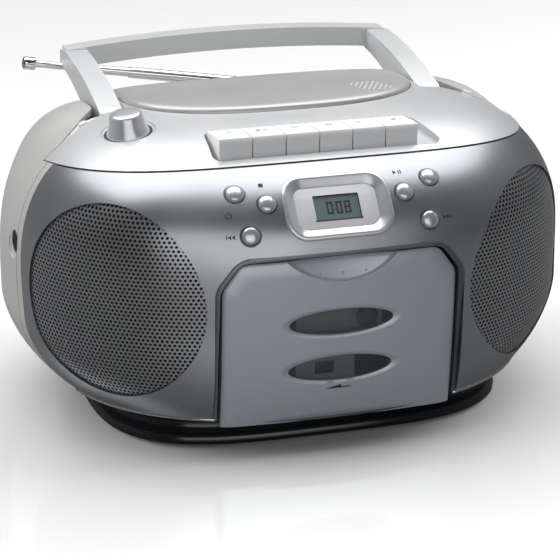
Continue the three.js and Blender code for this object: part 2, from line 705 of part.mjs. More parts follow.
function discPlayer() {
  const walls = superellipse(TUB.halfX, TUB.halfY, LID.power, 32, 0, LID.y);
  const room = superellipse(TUB.innerX, TUB.innerY, LID.power, 32, 0, LID.y);
  let well = standing(walls, DISC.under, 200).subtract(standing(room, DISC.deck, 210));
  for (const side of [-1, 1]) well = well.add(troughCut(side, TROUGH.wall));
  well = well.intersect(envelope(WALL + 0.5, ...COARSE));
  well = well.subtract(standing(room, DISC.deck, 210));
  for (const side of [-1, 1]) well = well.subtract(troughCut(side, 0));
  const swing = block(-LID_SLOT.halfX, LID_SLOT.halfX, LID_SLOT.front, FAR, LID_SLOT.floor, FAR);
  well = well.subtract(standing(room, LID_SLOT.floor, 210).intersect(swing));
  const hubFloor = vec(0, DISC.y, DISC.floor);
  well = well.subtract(bar(hubFloor, vec(0, DISC.y, 200), DISC.radius, 36));
  well = well.subtract(bar(vec(0, DISC.y, 100), vec(0, DISC.y, 200), 5, 16));
  well = well.subtract(block(16, 58, DISC.y - 11, DISC.y + 11, 100, 200));
  for (const side of [-1, 1]) {
    const [a, b] = [TROUGH.inner - 1, TROUGH.outer + 1];
    const pin = bar(
      vec(side * a, HANDLE.pivotY, HANDLE.pivotZ),
      vec(side * b, HANDLE.pivotY, HANDLE.pivotZ),
      HANDLE.pinR - 0.2,
      14,
    );
    well = well.add(pin);
  }
  add('cd_well', largest(well), DARK, 0.5, 0.1);
  const stem = [[0, -6], [3.4, -6], [3.4, 0.4]];
  const hub = [...stem, [13, 0.4], [13, 2], [7.3, 2.4], [7.3, 4.4], [5.5, 6.4], [0, 7]];
  add('cd_hub', turned(hub, hubFloor, Z, 18), BLACK, 0.4, 0.1);
  const motor = [[0, -24], [12, -24], [12, -7.4], [4, -7.4], [4, -6.6], [0, -6.6]];
  add('cd_motor', turned(motor, hubFloor, Z, 20), STEEL, 0.3, 0.8);
  let sled = block(20, 34, DISC.y - 9.5, DISC.y + 9.5, 121, 131);
  const lens = [[0, -1], [4.2, -1], [4.2, 1.2], [2.4, 1.8], [0, 1.8]];
  sled = sled.add(turned(lens, vec(27, DISC.y, 131), Z, 16));
  add('optical_sled', sled, BLACK, 0.4, 0.2);

  const skin = envelope(-LID.proud).subtract(envelope(-LID.proud + LID.skin, ...COARSE));
  let lid = skin.intersect(standing(lidPlan(0), 60, FAR));
  const rimRing = standing(lidPlan(0), 60, FAR).subtract(standing(lidPlan(-1.9), 50, FAR + 10));
  const rimSkin = envelope(-LID.proud + 0.8, ...COARSE).subtract(envelope(WALL - 0.2, ...COARSE));
  lid = lid.add(rimSkin.intersect(rimRing));
  add('cd_lid', largest(lid), GREY, 0.36, 0.5);
}

function controls() {
  const knob = [
    [0, -3],
    [KNOB.baseR + 1.6, -3],
    [KNOB.baseR + 1.6, -1.2],
    [KNOB.baseR, 0],
    [KNOB.topR, KNOB.height - 1],
    [KNOB.topR - 1.2, KNOB.height],
    [0, KNOB.height],
  ];
  add('volume_knob', turned(knob, knobPoint, knobNormal, 28), CHROME, 0.25, 0.5);
  for (const [name, side] of [['function_slider', -1], ['band_slider', 1]]) {
    let body = sliderBlock(side, 6, SLIDER.width / 2 - GAP, -4, 0.4);
    body = body.add(sliderBlock(side, 2.2, SLIDER.width / 2 - GAP, 0, 3));
    add(name, body, PALE, 0.4, 0.1);
  }
  const spin = tunerDisc(TUNER.radius, TUNER.width / 2);
  add('tuning_wheel', spin, PALE, 0.4, 0.3);
}

function carryHandle() {
  const { inner: near, outer: far, pivotY, pivotZ, endR } = HANDLE;
  const arm = new THREE.Shape();
  arm.absarc(pivotY, pivotZ, endR, THREE.MathUtils.degToRad(98), THREE.MathUtils.degToRad(282), false);
  arm.lineTo(32, 147.5);
  arm.lineTo(50, 152.2);
  arm.lineTo(75, 158);
  arm.lineTo(HANDLE.barFront, HANDLE.barBottom);
  arm.lineTo(HANDLE.barBack - 2, HANDLE.barBottom);
  arm.lineTo(HANDLE.barBack, HANDLE.barBottom + 3);
  arm.lineTo(HANDLE.barBack, HANDLE.barTop - 4);
  arm.lineTo(HANDLE.barBack - 3, HANDLE.barTop);
  arm.lineTo(75, 171.6);
  arm.lineTo(50, 169.4);
  arm.lineTo(28, 165.4);
  arm.closePath();
  let body = sideways(arm, near, far).add(sideways(arm, -far, -near));
  const top = [];
  const low = [];
  const steps = 12;
  for (let i = 0; i <= steps; i += 1) {
    const share = (2 * i) / steps - 1;
    const rise = HANDLE.arch * (1 - share * share);
    top.push([share * (far - 2), HANDLE.barTop + rise]);
    low.unshift([share * (far - 2), HANDLE.barBottom + rise]);
  }
  body = body.add(facing(outline([...low, ...top]), HANDLE.barFront, HANDLE.barBack));
  const bore = bar(vec(-FAR, pivotY, pivotZ), vec(FAR, pivotY, pivotZ), HANDLE.boreR, 16);
  add('carry_handle', body.subtract(bore), SILVER, 0.34, 0.6);
}

function antenna() {
  const disc = bar(pivot.clone().setY(ANTENNA.bossEnd + GAP), pivot.clone().setY(109.8), 7, 20);
  const elbow = rodDirection.clone().cross(Y);
  const earFrame = frameAt(pivot, rodDirection, Y);
  const ear = (low) => {
    const plate = new THREE.BoxGeometry(8, 10, 2.4);
    plate.translate(0, -1.5, low + 1.2);
    plate.applyMatrix4(earFrame);
    return toSolid(plate);
  };
  const pin = bar(
    pivot.clone().addScaledVector(elbow, ANTENNA.r1 + 0.3),
    pivot.clone().addScaledVector(elbow, ANTENNA.r1 + 4),
    1.8,
    12,
  );
  const knuckle = disc.add(ear(ANTENNA.r1 + 0.4)).add(ear(-ANTENNA.r1 - 2.8)).add(pin);
  add('antenna_knuckle', knuckle, CHROME, 0.15, 1);
  const total = vec(...ANTENNA.tip).distanceTo(pivot);
  const cup1 = [
    [0, -3.4],
    [ANTENNA.r1, -3.4],
    [ANTENNA.r1, ANTENNA.length1],
    [ANTENNA.bore1, ANTENNA.length1],
    [ANTENNA.bore1, 6],
    [0, 6],
  ];
  add('antenna_tube', turned(cup1, pivot, rodDirection, 12), CHROME, 0.12, 1);
  const { r2, bore2, start2, end2 } = ANTENNA;
  const floor2 = start2 + 4;
  const cup2 = [[0, start2], [r2, start2], [r2, end2], [bore2, end2], [bore2, floor2], [0, floor2]];
  add('antenna_middle_tube', turned(cup2, pivot, rodDirection, 12), CHROME, 0.12, 1);
  const last = [
    [0, ANTENNA.start3],
    [ANTENNA.r3, ANTENNA.start3],
    [ANTENNA.r3, total - ANTENNA.capLength],
    [ANTENNA.capR, total - ANTENNA.capLength],
    [ANTENNA.capR, total - 0.6],
    [ANTENNA.capR - 0.6, total],
    [0, total],
  ];
  add('antenna_tip_rod', turned(last, pivot, rodDirection, 12), CHROME, 0.12, 1);
}

function back() {
  const skin = outer.subtract(envelope(2.2, ...COARSE));
  const panel = block(
    -BATTERY.halfX + 0.5,
    BATTERY.halfX - 0.5,
    60,
    FAR,
    BATTERY.low + 0.5,
    BATTERY.high - 0.5,
  );
  add('battery_door', largest(skin.intersect(panel)), SILVER, 0.45, 0.4);
  const mouth = onSurface(vec(INLET.x, 40, INLET.z), Y).y;
  let socket = inletPrism(0, mouth - INLET.depth, mouth - 0.5);
  socket = socket.subtract(inletPrism(-2, mouth - INLET.depth + 2.5, FAR));
  for (const dx of [-4, 4]) {
    const low = vec(INLET.x + dx, mouth - INLET.depth + 1, INLET.z);
    socket = socket.add(bar(low, low.clone().setY(mouth - 4), 1.2, 12));
  }
  add('mains_inlet', socket, BLACK, 0.5, 0);
  const side = onSurface(vec(-100, JACK.y, JACK.z), vec(-1, 0, 0)).x;
  const { ring: rim, length, radius } = JACK;
  const jack = [
    [radius, 0.4],
    [radius, -length],
    [radius + 2, -length],
    [radius + 2, -1.6],
    [rim, -1.6],
    [rim, 0.4],
    [radius, 0.4],
  ];
  const ring = turned(jack, vec(side, JACK.y, JACK.z), vec(-1, 0, 0), 20);
  add('headphone_jack', ring, BLACK, 0.4, 0.2);
}

function insides() {
  const board = block(-74, 74, 44, 45.6, 26, 104);
  add('main_board', board, 0x2f6b3a, 0.6, 0);
  let core = block(-108, -80, 20, 54, 24, 58);
  core = core.subtract(block(-100, -88, 19, 55, 30, 52)).add(block(-104, -84, 16, 58, 29, 53));
  add('mains_transformer', core, STEEL, 0.5, 0.6);
}

frontCabinet();
topCabinet();
rearCabinet();
basePlinth();
speakers();
display();
buttons();
keys();
cassetteDoor();
tapeDeck();
discPlayer();
controls();
carryHandle();
antenna();
back();
insides();

export default group;
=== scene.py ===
"""The looks of a portable radio with a cassette deck and a disc player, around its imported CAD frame.
Shapes are worked out in millimetres, in the CAD's frame: +Z up, the front faces -Y."""
import json
import math

import bmesh
import bpy
import numpy as np
from mathutils import Matrix, Vector

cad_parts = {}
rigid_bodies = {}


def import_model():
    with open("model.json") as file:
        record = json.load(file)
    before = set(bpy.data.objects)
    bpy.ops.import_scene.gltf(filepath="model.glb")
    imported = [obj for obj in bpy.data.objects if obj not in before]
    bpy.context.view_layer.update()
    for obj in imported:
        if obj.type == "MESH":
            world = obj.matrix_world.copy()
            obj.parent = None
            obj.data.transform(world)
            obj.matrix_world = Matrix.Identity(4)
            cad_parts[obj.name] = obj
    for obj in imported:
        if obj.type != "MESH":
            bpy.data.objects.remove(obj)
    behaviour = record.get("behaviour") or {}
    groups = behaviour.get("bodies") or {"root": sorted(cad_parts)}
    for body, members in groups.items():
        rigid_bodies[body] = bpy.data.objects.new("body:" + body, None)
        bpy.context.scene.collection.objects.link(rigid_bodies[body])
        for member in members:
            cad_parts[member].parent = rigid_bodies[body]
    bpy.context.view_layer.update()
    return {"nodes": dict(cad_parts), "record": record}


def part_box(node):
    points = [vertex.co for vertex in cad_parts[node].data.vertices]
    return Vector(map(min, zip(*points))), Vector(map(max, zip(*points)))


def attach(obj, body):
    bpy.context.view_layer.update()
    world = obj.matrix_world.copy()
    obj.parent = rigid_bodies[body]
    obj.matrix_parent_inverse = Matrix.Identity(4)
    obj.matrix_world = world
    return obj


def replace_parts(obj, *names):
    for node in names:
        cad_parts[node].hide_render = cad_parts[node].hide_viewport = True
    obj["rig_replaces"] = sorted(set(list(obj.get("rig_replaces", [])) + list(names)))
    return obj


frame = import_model()
scene = bpy.context.scene
MM = 0.001

# ---------- driving dimensions, the same as the CAD's ----------
BODY = dict(half=155, front=117.5, rear=124.9, up=100, down=76, mid_y=-5, mid_z=63.6,
            plan_mid=2.25, plan_top=4.8, p_front=2.34, p_rear=2.24, p_top=3.7, p_bottom=1.85, fullness=0.8)
WALL = 2.6
FLOOR_Z = 19.5
FAR = 400.0
SEAM_GAP = 0.8
LID = dict(half_x=83, half_y=63.5, y=35.5, power=2.9)
DOOR = dict(half=63.2, bottom=17.8, shoulder=94, top_half=53.3, top=108, back=-99)
SPEAKER = dict(x=76.7, y=-40, z=84.5, turn=40.6, radius=52)
BUTTONS = {"standby_button": (-52.5, 141.3), "stop_button": (-37, 136.5), "back_button": (-48.2, 123.1),
           "play_button": (37, 136.5), "mode_button": (52.5, 141.3), "next_button": (48.2, 123.1)}
SCREWS = ((-100, 80), (100, 80), (-60, 140), (60, 132), (-88, 30), (60, 26))
JACK_YZ = (-22, 101)
TUNER = (120.5034, -8, 125.7561)
KEYS = ["pause_key", "stop_eject_key", "forward_key", "rewind_key", "play_key", "record_key"]


def vec(*values):
    return np.array(values, float)


def unit(v):
    return v / np.linalg.norm(v)


# ---------- the cabinet's envelope ----------
def level(p, inset=0.0):
    """1 on the envelope that lies inset millimetres inside the outer surface."""
    dy, dz = p[:, 1] - BODY["mid_y"], p[:, 2] - BODY["mid_z"]
    depth = np.where(dy < 0, BODY["front"], BODY["rear"]) - inset
    height = np.where(dz > 0, BODY["up"], BODY["down"]) - inset
    share = np.where(dz > 0, np.minimum(np.abs(dz) / height, 1), 0) ** 2
    plan = BODY["plan_mid"] + (BODY["plan_top"] - BODY["plan_mid"]) * share
    along = (np.abs(p[:, 0]) / (BODY["half"] - inset)) ** plan
    across = (np.abs(dy) / depth) ** np.where(dy < 0, BODY["p_front"], BODY["p_rear"])
    upward = (np.abs(dz) / height) ** np.where(dz > 0, BODY["p_top"], BODY["p_bottom"])
    full = np.where((dy < 0) & (dz < 0), 1 - BODY["fullness"] * np.minimum(np.abs(dy) / depth, 1) ** 2, 1)
    return along + across + full * upward


def surface(origin, direction, inset=0.0):
    """Where lines from points inside meet the envelope."""
    origin, direction = np.atleast_2d(origin).astype(float), np.atleast_2d(direction).astype(float)
    origin, direction = np.broadcast_arrays(origin, direction)
    near, past = np.zeros(len(origin)), np.full(len(origin), FAR)
    for _ in range(46):
        t = (near + past) / 2
        inside = level(origin + direction * t[:, None], inset) < 1
        near, past = np.where(inside, t, near), np.where(inside, past, t)
    return origin + direction * near[:, None]


def gradient(p, inset=0.0):
    h = 0.01
    steps = [level(p + h * e, inset) - level(p - h * e, inset) for e in np.eye(3)]
    return np.stack(steps, 1) / (2 * h)


def normal(p, inset=0.0):
    g = gradient(p, inset)
    return g / np.linalg.norm(g, axis=1)[:, None]


def top_point(x, y):
    return surface(vec(x, y, 100), vec(0, 0, 1))[0]


# ---------- meshes ----------
def make(name, verts, faces, smooth=True):
    mesh = bpy.data.meshes.new(name)
    mesh.from_pydata((np.asarray(verts, float) * MM).tolist(), [], faces)
    mesh.update()
    mesh.polygons.foreach_set("use_smooth", [smooth] * len(mesh.polygons))
    obj = bpy.data.objects.new(name, mesh)
    scene.collection.objects.link(obj)
    return obj


def recalc(obj):
    bm = bmesh.new()
    bm.from_mesh(obj.data)
    bmesh.ops.remove_doubles(bm, verts=bm.verts, dist=1e-7)
    bmesh.ops.recalc_face_normals(bm, faces=bm.faces)
    bm.to_mesh(obj.data)
    bm.free()
    return obj


def loft(name, rings, closed_ends=(True, True), closed=True, smooth=True):
    """Skins a list of rings with the same number of points, with a flat or one-point cap at each end."""
    rings = [np.asarray(r, float) for r in rings]
    count = len(rings[0])
    verts = np.concatenate(rings)
    faces = []
    for i in range(len(rings) - 1):
        for j in range(count if closed else count - 1):
            k = (j + 1) % count
            faces.append((i * count + j, i * count + k, (i + 1) * count + k, (i + 1) * count + j))
    if closed_ends[0]:
        faces.append(tuple(reversed(range(count))))
    if closed_ends[1]:
        faces.append(tuple(range((len(rings) - 1) * count, len(rings) * count)))
    return recalc(make(name, verts, faces, smooth))


def basis(axis):
    axis = unit(axis)
    side = vec(0, 0, 1) if abs(axis[2]) < 0.9 else vec(1, 0, 0)
    u = unit(np.cross(side, axis))
    return u, np.cross(axis, u), axis


def lathe(name, profile, origin, axis, sides=48):
    """Turns a profile of (radius, height) about an axis; it starts and ends on the axis or closes on itself."""
    u, v, w = basis(axis)
    turn = np.arange(sides) * 2 * math.pi / sides
    spoke = np.cos(turn)[:, None] * u + np.sin(turn)[:, None] * v
    rings = [vec(*origin) + max(r, 1e-4) * spoke + h * w for r, h in profile]
    hollow = profile[0] == profile[-1]
    return loft(name, rings, (not hollow, not hollow))


def arc_points(cx, cy, radius, start, end, steps):
    turn = np.radians(np.linspace(start, end, steps))
    return [(cx + radius * math.cos(a), cy + radius * math.sin(a)) for a in turn]


def rounded(corners, radii, steps=8):
    """A closed outline with a fillet at each corner."""
    points = []
    count = len(corners)
    radii = radii if isinstance(radii, (list, tuple)) else [radii] * count
    for i, corner in enumerate(corners):
        p, a, b = vec(*corner), vec(*corners[i - 1]), vec(*corners[(i + 1) % count])
        u, v = unit(a - p), unit(b - p)
        half = math.acos(np.clip(u @ v, -1, 1)) / 2
        reach = radii[i] / math.tan(half)
        if radii[i] < 1e-6 or abs(half - math.pi / 2) < 1e-3:
            points.append(tuple(p))
            continue
        centre = p + unit(u + v) * radii[i] / math.sin(half)
        start, end = p + u * reach - centre, p + v * reach - centre
        a0 = math.atan2(start[1], start[0])
        swing = (math.atan2(end[1], end[0]) - a0 + math.pi) % (2 * math.pi) - math.pi
        for s in np.linspace(0, 1, steps):
            turn = a0 + swing * s
            points.append((centre[0] + radii[i] * math.cos(turn), centre[1] + radii[i] * math.sin(turn)))
    return points


def rectangle(hx, hy, radius=0, steps=8, cx=0, cy=0):
    corners = [(cx - hx, cy - hy), (cx + hx, cy - hy), (cx + hx, cy + hy), (cx - hx, cy + hy)]
    return rounded(corners, radius, steps)


def oval(hx, hy, power=2.0, count=96, cx=0, cy=0):
    turn = np.arange(count) * 2 * math.pi / count
    c, s = np.cos(turn), np.sin(turn)
    x = cx + hx * np.sign(c) * np.abs(c) ** (2 / power)
    y = cy + hy * np.sign(s) * np.abs(s) ** (2 / power)
    return list(zip(x, y))


PLANES = {"top": (vec(1, 0, 0), vec(0, 1, 0)), "front": (vec(1, 0, 0), vec(0, 0, 1)),
          "side": (vec(0, 1, 0), vec(0, 0, 1))}
OUTS = {"top": vec(0, 0, 1), "front": vec(0, 1, 0), "side": vec(1, 0, 0)}


def prism(name, outline, plane, low, high):
    """An outline in a plane, from low to high along the plane's own axis."""
    u, v = PLANES[plane]
    flat = np.array(outline, float)
    base = flat[:, :1] * u + flat[:, 1:] * v
    return loft(name, [base + low * OUTS[plane], base + high * OUTS[plane]], smooth=False)


def prism_at(name, outline, origin, u, v, low, high):
    flat = np.array(outline, float)
    base = vec(*origin) + flat[:, :1] * u + flat[:, 1:] * v
    w = np.cross(u, v)
    return loft(name, [base + low * w, base + high * w], smooth=False)


def slab(name, x, y, z):
    return prism(name, rectangle((x[1] - x[0]) / 2, (y[1] - y[0]) / 2, 0, 1, sum(x) / 2, sum(y) / 2), "top",
                 *z)


def envelope(name, inset=0.0, around=200, rings=110):
    centre = vec(0, BODY["mid_y"], BODY["mid_z"])
    polar = np.linspace(0, math.pi, rings + 1)[1:-1]
    turn = np.arange(around) * 2 * math.pi / around
    d = np.stack([np.outer(np.sin(polar), np.cos(turn)).ravel() * BODY["half"],
                  np.outer(np.sin(polar), np.sin(turn)).ravel() * BODY["front"],
                  np.repeat(np.cos(polar), around) * BODY["up"]], 1)
    d = np.concatenate([d, [[0, 0, 1], [0, 0, -1]]])
    p = surface(centre, d / np.linalg.norm(d, axis=1)[:, None], inset)
    faces = []
    for i in range(rings - 2):
        for j in range(around):
            k = (j + 1) % around
            faces.append((i * around + j, (i + 1) * around + j, (i + 1) * around + k, i * around + k))
    north, south, last = len(p) - 2, len(p) - 1, (rings - 2) * around
    for j in range(around):
        k = (j + 1) % around
        faces.append((north, j, k))
        faces.append((south, last + k, last + j))
    return make(name, p, faces)


# ---------- cutting ----------
def bake(obj, tools):
    scene.view_layers[0].update()
    graph = bpy.context.evaluated_depsgraph_get()
    mesh = bpy.data.meshes.new_from_object(obj.evaluated_get(graph))
    obj.modifiers.clear()
    old, name = obj.data, obj.name
    obj.data = mesh
    bpy.data.meshes.remove(old)
    mesh.name = name
    for tool in tools:
        bpy.data.meshes.remove(tool.data)
    return obj


def combine(obj, *steps):
    """Applies (operation, tool) steps in turn; tools are used up."""
    for operation, tool in steps:
        cut = obj.modifiers.new("cut", "BOOLEAN")
        cut.operation, cut.object, cut.solver = operation, tool, "MANIFOLD"
    return bake(obj, [tool for _, tool in steps])


def less(obj, *tools):
    return combine(obj, *[("DIFFERENCE", tool) for tool in tools])


def both(obj, *tools):
    return combine(obj, *[("INTERSECT", tool) for tool in tools])


def plus(obj, *tools):
    return combine(obj, *[("UNION", tool) for tool in tools])


def smooth_by_angle(obj, degrees=32):
    obj.data.polygons.foreach_set("use_smooth", [True] * len(obj.data.polygons))
    obj.data.set_sharp_from_angle(angle=math.radians(degrees))
    return obj


def envelope_shading(obj, insets=(0.0,), degrees=32):
    """Smooth shading, with the envelope's own normals wherever a corner lies on it."""
    smooth_by_angle(obj, degrees)
    mesh = obj.data
    co = np.zeros(len(mesh.vertices) * 3)
    mesh.vertices.foreach_get("co", co)
    co = co.reshape(-1, 3) / MM
    corner = np.zeros(len(mesh.loops) * 3)
    mesh.corner_normals.foreach_get("vector", corner)
    corner = corner.reshape(-1, 3)
    at = np.zeros(len(mesh.loops), int)
    mesh.loops.foreach_get("vertex_index", at)
    flat = np.zeros(len(mesh.polygons) * 3)
    mesh.polygons.foreach_get("normal", flat)
    totals = np.zeros(len(mesh.polygons), int)
    mesh.polygons.foreach_get("loop_total", totals)
    flat = np.repeat(flat.reshape(-1, 3), totals, axis=0)
    for inset in insets:
        slope = gradient(co, inset)
        size = np.linalg.norm(slope, axis=1)
        away = np.abs(level(co, inset) - 1) / np.maximum(size, 1e-9)
        true = slope / np.maximum(size, 1e-9)[:, None]
        use = (away[at] < 0.08) & (np.einsum("ij,ij->i", flat, true[at]) > 0.9)
        corner[use] = true[at][use]
    mesh.normals_split_custom_set(corner.tolist())
    return obj


def bevel(obj, width, segments=3, angle=35):
    rim = obj.modifiers.new("rim", "BEVEL")
    rim.width, rim.segments, rim.limit_method = width * MM, segments, "ANGLE"
    rim.angle_limit = math.radians(angle)
    rim.harden_normals = True
    smooth_by_angle(obj, 40)
    return obj


# ---------- materials ----------
def noise(tree, scale, detail=3.0, rough=0.5):
    place = tree.nodes.new("ShaderNodeTexCoord")
    grain = tree.nodes.new("ShaderNodeTexNoise")
    grain.inputs["Scale"].default_value = scale
    grain.inputs["Detail"].default_value = detail
    grain.inputs["Roughness"].default_value = rough
    tree.links.new(place.outputs["Object"], grain.inputs["Vector"])
    return grain


def spread(tree, source, low, high):
    ramp = tree.nodes.new("ShaderNodeMapRange")
    ramp.inputs["From Min"].default_value = 0.3
    ramp.inputs["From Max"].default_value = 0.7
    ramp.inputs["To Min"].default_value = low
    ramp.inputs["To Max"].default_value = high
    tree.links.new(source, ramp.inputs["Value"])
    return ramp.outputs["Result"]


def material(name, colour, rough=0.4, metal=0.0, vary=0.04, grain=900.0, bump=0.02, rough_vary=0.05,
             coat=0.0, coat_rough=0.1, soft=18.0, **extra):
    """A surface with fine grain in its colour, roughness and height."""
    m = bpy.data.materials.new(name)
    m.use_nodes = True
    tree = m.node_tree
    shader = tree.nodes["Principled BSDF"]
    shader.inputs["Metallic"].default_value = metal
    shader.inputs["Coat Weight"].default_value = coat
    shader.inputs["Coat Roughness"].default_value = coat_rough
    for key, value in extra.items():
        shader.inputs[key.replace("_", " ")].default_value = value
    fine, broad = noise(tree, grain, 2.0), noise(tree, soft, 3.0)
    shade = tree.nodes.new("ShaderNodeMix")
    shade.data_type = "RGBA"
    shade.inputs[6].default_value = (*[c * (1 - vary) for c in colour], 1)
    shade.inputs[7].default_value = (*[min(c * (1 + vary), 1) for c in colour], 1)
    tree.links.new(fine.outputs["Fac"], shade.inputs[0])
    tree.links.new(shade.outputs[2], shader.inputs["Base Color"])
    tree.links.new(spread(tree, broad.outputs["Fac"], rough - rough_vary, rough + rough_vary),
                   shader.inputs["Roughness"])
    if bump:
        height = tree.nodes.new("ShaderNodeBump")
        height.inputs["Strength"].default_value = bump
        height.inputs["Distance"].default_value = 0.0003
        tree.links.new(fine.outputs["Fac"], height.inputs["Height"])
        tree.links.new(height.outputs["Normal"], shader.inputs["Normal"])
    return m


def clear(name, colour, alpha, rough=0.06):
    m = material(name, colour, rough, vary=0.0, bump=0.0, rough_vary=0.02, coat=0.6, coat_rough=0.03)
    m.node_tree.nodes["Principled BSDF"].inputs["Alpha"].default_value = alpha
    return m


FINISH = {
    "silver_shell": material("silver_paint", (0.43, 0.445, 0.465), 0.33, 0.85, 0.07, 1500, 0.03, coat=0.15,
                             coat_rough=0.25),
    "pearl_top": material("pearl_paint", (0.68, 0.69, 0.70), 0.38, 0.45, 0.05, 1500, 0.03, coat=0.15,
                          coat_rough=0.25),
    "rear_shell": material("rear_paint", (0.62, 0.615, 0.605), 0.42, 0.35, 0.06, 1200, 0.05),
    "black_base": material("black_gloss", (0.010, 0.011, 0.013), 0.22, 0.0, 0.3, 700, 0.02, coat=0.4),
    "rubber_foot": material("rubber", (0.02, 0.02, 0.02), 0.8, 0.0, 0.3, 1400, 0.3),
    "speaker_mesh": material("grille_paint", (0.42, 0.43, 0.445), 0.32, 0.85, 0.08, 1500, 0.03),
    "basket_steel": material("pressed_steel", (0.3, 0.3, 0.31), 0.4, 0.8, 0.1, 600, 0.05),
    "cone_paper": material("cone_paper", (0.02, 0.02, 0.02), 0.85, 0.0, 0.4, 900, 0.4),
    "bezel_silver": material("bezel_paint", (0.66, 0.67, 0.69), 0.28, 0.55, 0.04, 1500, 0.02, coat=0.3),
    "display_plate": material("plate_paint", (0.78, 0.79, 0.80), 0.4, 0.1, 0.02, 1500, 0.02),
    "lcd_glass": material("lcd", (0.17, 0.225, 0.225), 0.25, 0.0, 0.03, 1200, 0.0, coat=0.8,
                          coat_rough=0.04),
    "button_silver": material("button_paint", (0.64, 0.65, 0.67), 0.24, 0.62, 0.03, 1500, 0.01, coat=0.4),
    "key_plastic": material("key_paint", (0.92, 0.93, 0.94), 0.36, 0.0, 0.03, 1400, 0.03, coat=0.2),
    "door_silver": material("door_paint", (0.56, 0.605, 0.65), 0.34, 0.38, 0.08, 1500, 0.04, coat=0.15,
                            coat_rough=0.25),
    "smoked_window": clear("smoked_clear", (0.10, 0.11, 0.12), 0.18),
    "dark_plastic": material("dark_plastic", (0.035, 0.036, 0.04), 0.5, 0.0, 0.2, 900, 0.12),
    "steel": material("bright_steel", (0.55, 0.55, 0.56), 0.3, 1.0, 0.06, 500, 0.04),
    "reel_plastic": material("white_nylon", (0.62, 0.62, 0.60), 0.45, 0.0, 0.04, 900, 0.05),
    "black_plastic": material("black_plastic", (0.015, 0.015, 0.016), 0.45, 0.0, 0.3, 900, 0.12),
    "roller_rubber": material("ground_rubber", (0.02, 0.02, 0.02), 0.75, 0.0, 0.3, 1400, 0.3),
    "lid_silver": material("lid_paint", (0.54, 0.54, 0.535), 0.40, 0.5, 0.06, 1500, 0.04, coat=0.1,
                           coat_rough=0.3),
    "knob_silver": material("knob_paint", (0.72, 0.73, 0.745), 0.26, 0.6, 0.03, 1500, 0.02, coat=0.3),
    "control_plastic": material("control_plastic", (0.80, 0.81, 0.82), 0.4, 0.1, 0.03, 1200, 0.03),
    "handle_silver": material("handle_paint", (0.70, 0.71, 0.72), 0.37, 0.30, 0.06, 1500, 0.03, coat=0.1,
                              coat_rough=0.3),
    "antenna_chrome": material("chrome", (0.80, 0.81, 0.83), 0.08, 1.0, 0.02, 600, 0.0, rough_vary=0.03),
    "circuit_board": material("laminate", (0.02, 0.13, 0.05), 0.4, 0.0, 0.2, 500, 0.05),
    "transformer_core": material("laminations", (0.16, 0.16, 0.17), 0.5, 0.7, 0.3, 400, 0.2),
}
INK = material("dark_ink", (0.035, 0.038, 0.045), 0.5, 0.0, 0.1, 1200, 0.0)
FAINT = material("faint_ink", (0.40, 0.41, 0.43), 0.5, 0.2, 0.05, 1200, 0.0)
# Painted shade: one dark paint standing in for shade, on the knob recess's floor, the sheet behind the rear
# vents and the frame round the LCD.
PAINTED_SHADE = material("seam_shadow", (0.05, 0.05, 0.055), 0.55, 0.2, 0.1, 900, 0.0)
RIM_GREY = material("surround_paint", (0.20, 0.21, 0.225), 0.34, 0.7, 0.08, 1500, 0.03)
# Painted highlight: a lighter, glossier silver for the rolled lip, standing in for the highlight along the
# cabinet's lower edge.
LIP_HIGHLIGHT = material("painted_highlight_lip", (0.62, 0.63, 0.65), 0.18, 0.85, 0.04, 900, 0.01)
WHITE = material("white_print", (0.85, 0.85, 0.85), 0.5, 0.0, 0.02, 900, 0.0)
LEAF = material("holder_leaf", (0.42, 0.43, 0.44), 0.35, 0.3, 0.06, 900, 0.04)


def finish(obj, body, slot, nodes=(), skin=None):
    """Gives a piece its material (the slot's finish unless a skin is given), its body and the CAD nodes that it
    stands for.
    """
    obj.data.materials.clear()
    obj.data.materials.append(skin or FINISH[slot])
    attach(obj, body)
    if nodes:
        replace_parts(obj, *nodes)
    return obj


# ---------- shared outlines and cutters ----------
def seam_plane(shift=0.0):
    """Everything ahead of the seam between the front and rear cabinets."""
    y = [-36.6 + 0.11 * (z - 80) + shift for z in (-FAR, FAR)]
    return prism("seam", [(-FAR, -FAR), (y[0], -FAR), (y[1], FAR), (-FAR, FAR)], "side", -FAR, FAR)


def top_seam_plane(shift=0.0):
    """Everything above the seam under the top cabinet."""
    z = [151.3 - 0.12 * (y + 85) + shift for y in (-FAR, FAR)]
    return prism("top_seam", [(-FAR, z[0]), (FAR, z[1]), (FAR, FAR), (-FAR, FAR)], "side", -FAR, FAR)


def top_plan(grow=0.0):
    """The top cabinet's plan, cut back at the rear shoulders."""
    g = grow
    half = [(FAR, -FAR), (FAR, -36.6), (124 + g, -16 + g), (100 + g, 14 + g), (100 + g, 58 + g),
            (56 + g, 106 + g)]
    corners = half + [(-x, y) for x, y in reversed(half)]
    radii = [0, 0, 8, 8, 6, 6, 6, 6, 8, 8, 0, 0]
    return prism("top_plan", rounded(corners, radii), "top", 60, FAR)


def door_outline(grow, bottom=None, radius=9):
    bottom = DOOR["bottom"] if bottom is None else bottom
    corners = [(-DOOR["half"] - grow, bottom), (DOOR["half"] + grow, bottom),
               (DOOR["half"] + grow, DOOR["shoulder"] + grow * 0.6), (DOOR["top_half"] + grow * 0.4,
                   DOOR["top"] + grow),
               (-DOOR["top_half"] - grow * 0.4, DOOR["top"] + grow), (-DOOR["half"] - grow,
                   DOOR["shoulder"] + grow * 0.6)]
    return rounded(corners, [0, 0, radius + grow, radius + grow, radius + grow, radius + grow], 10)


def speaker_axis(side):
    turn = math.radians(SPEAKER["turn"])
    return vec(side * SPEAKER["x"], SPEAKER["y"], SPEAKER["z"]), vec(side * math.sin(turn), -math.cos(turn),
        0)


def speaker_bore(side, radius):
    base, out = speaker_axis(side)
    return lathe("bore", [(0, 12), (radius, 12), (radius, 140), (0, 140)], base, out, 128)


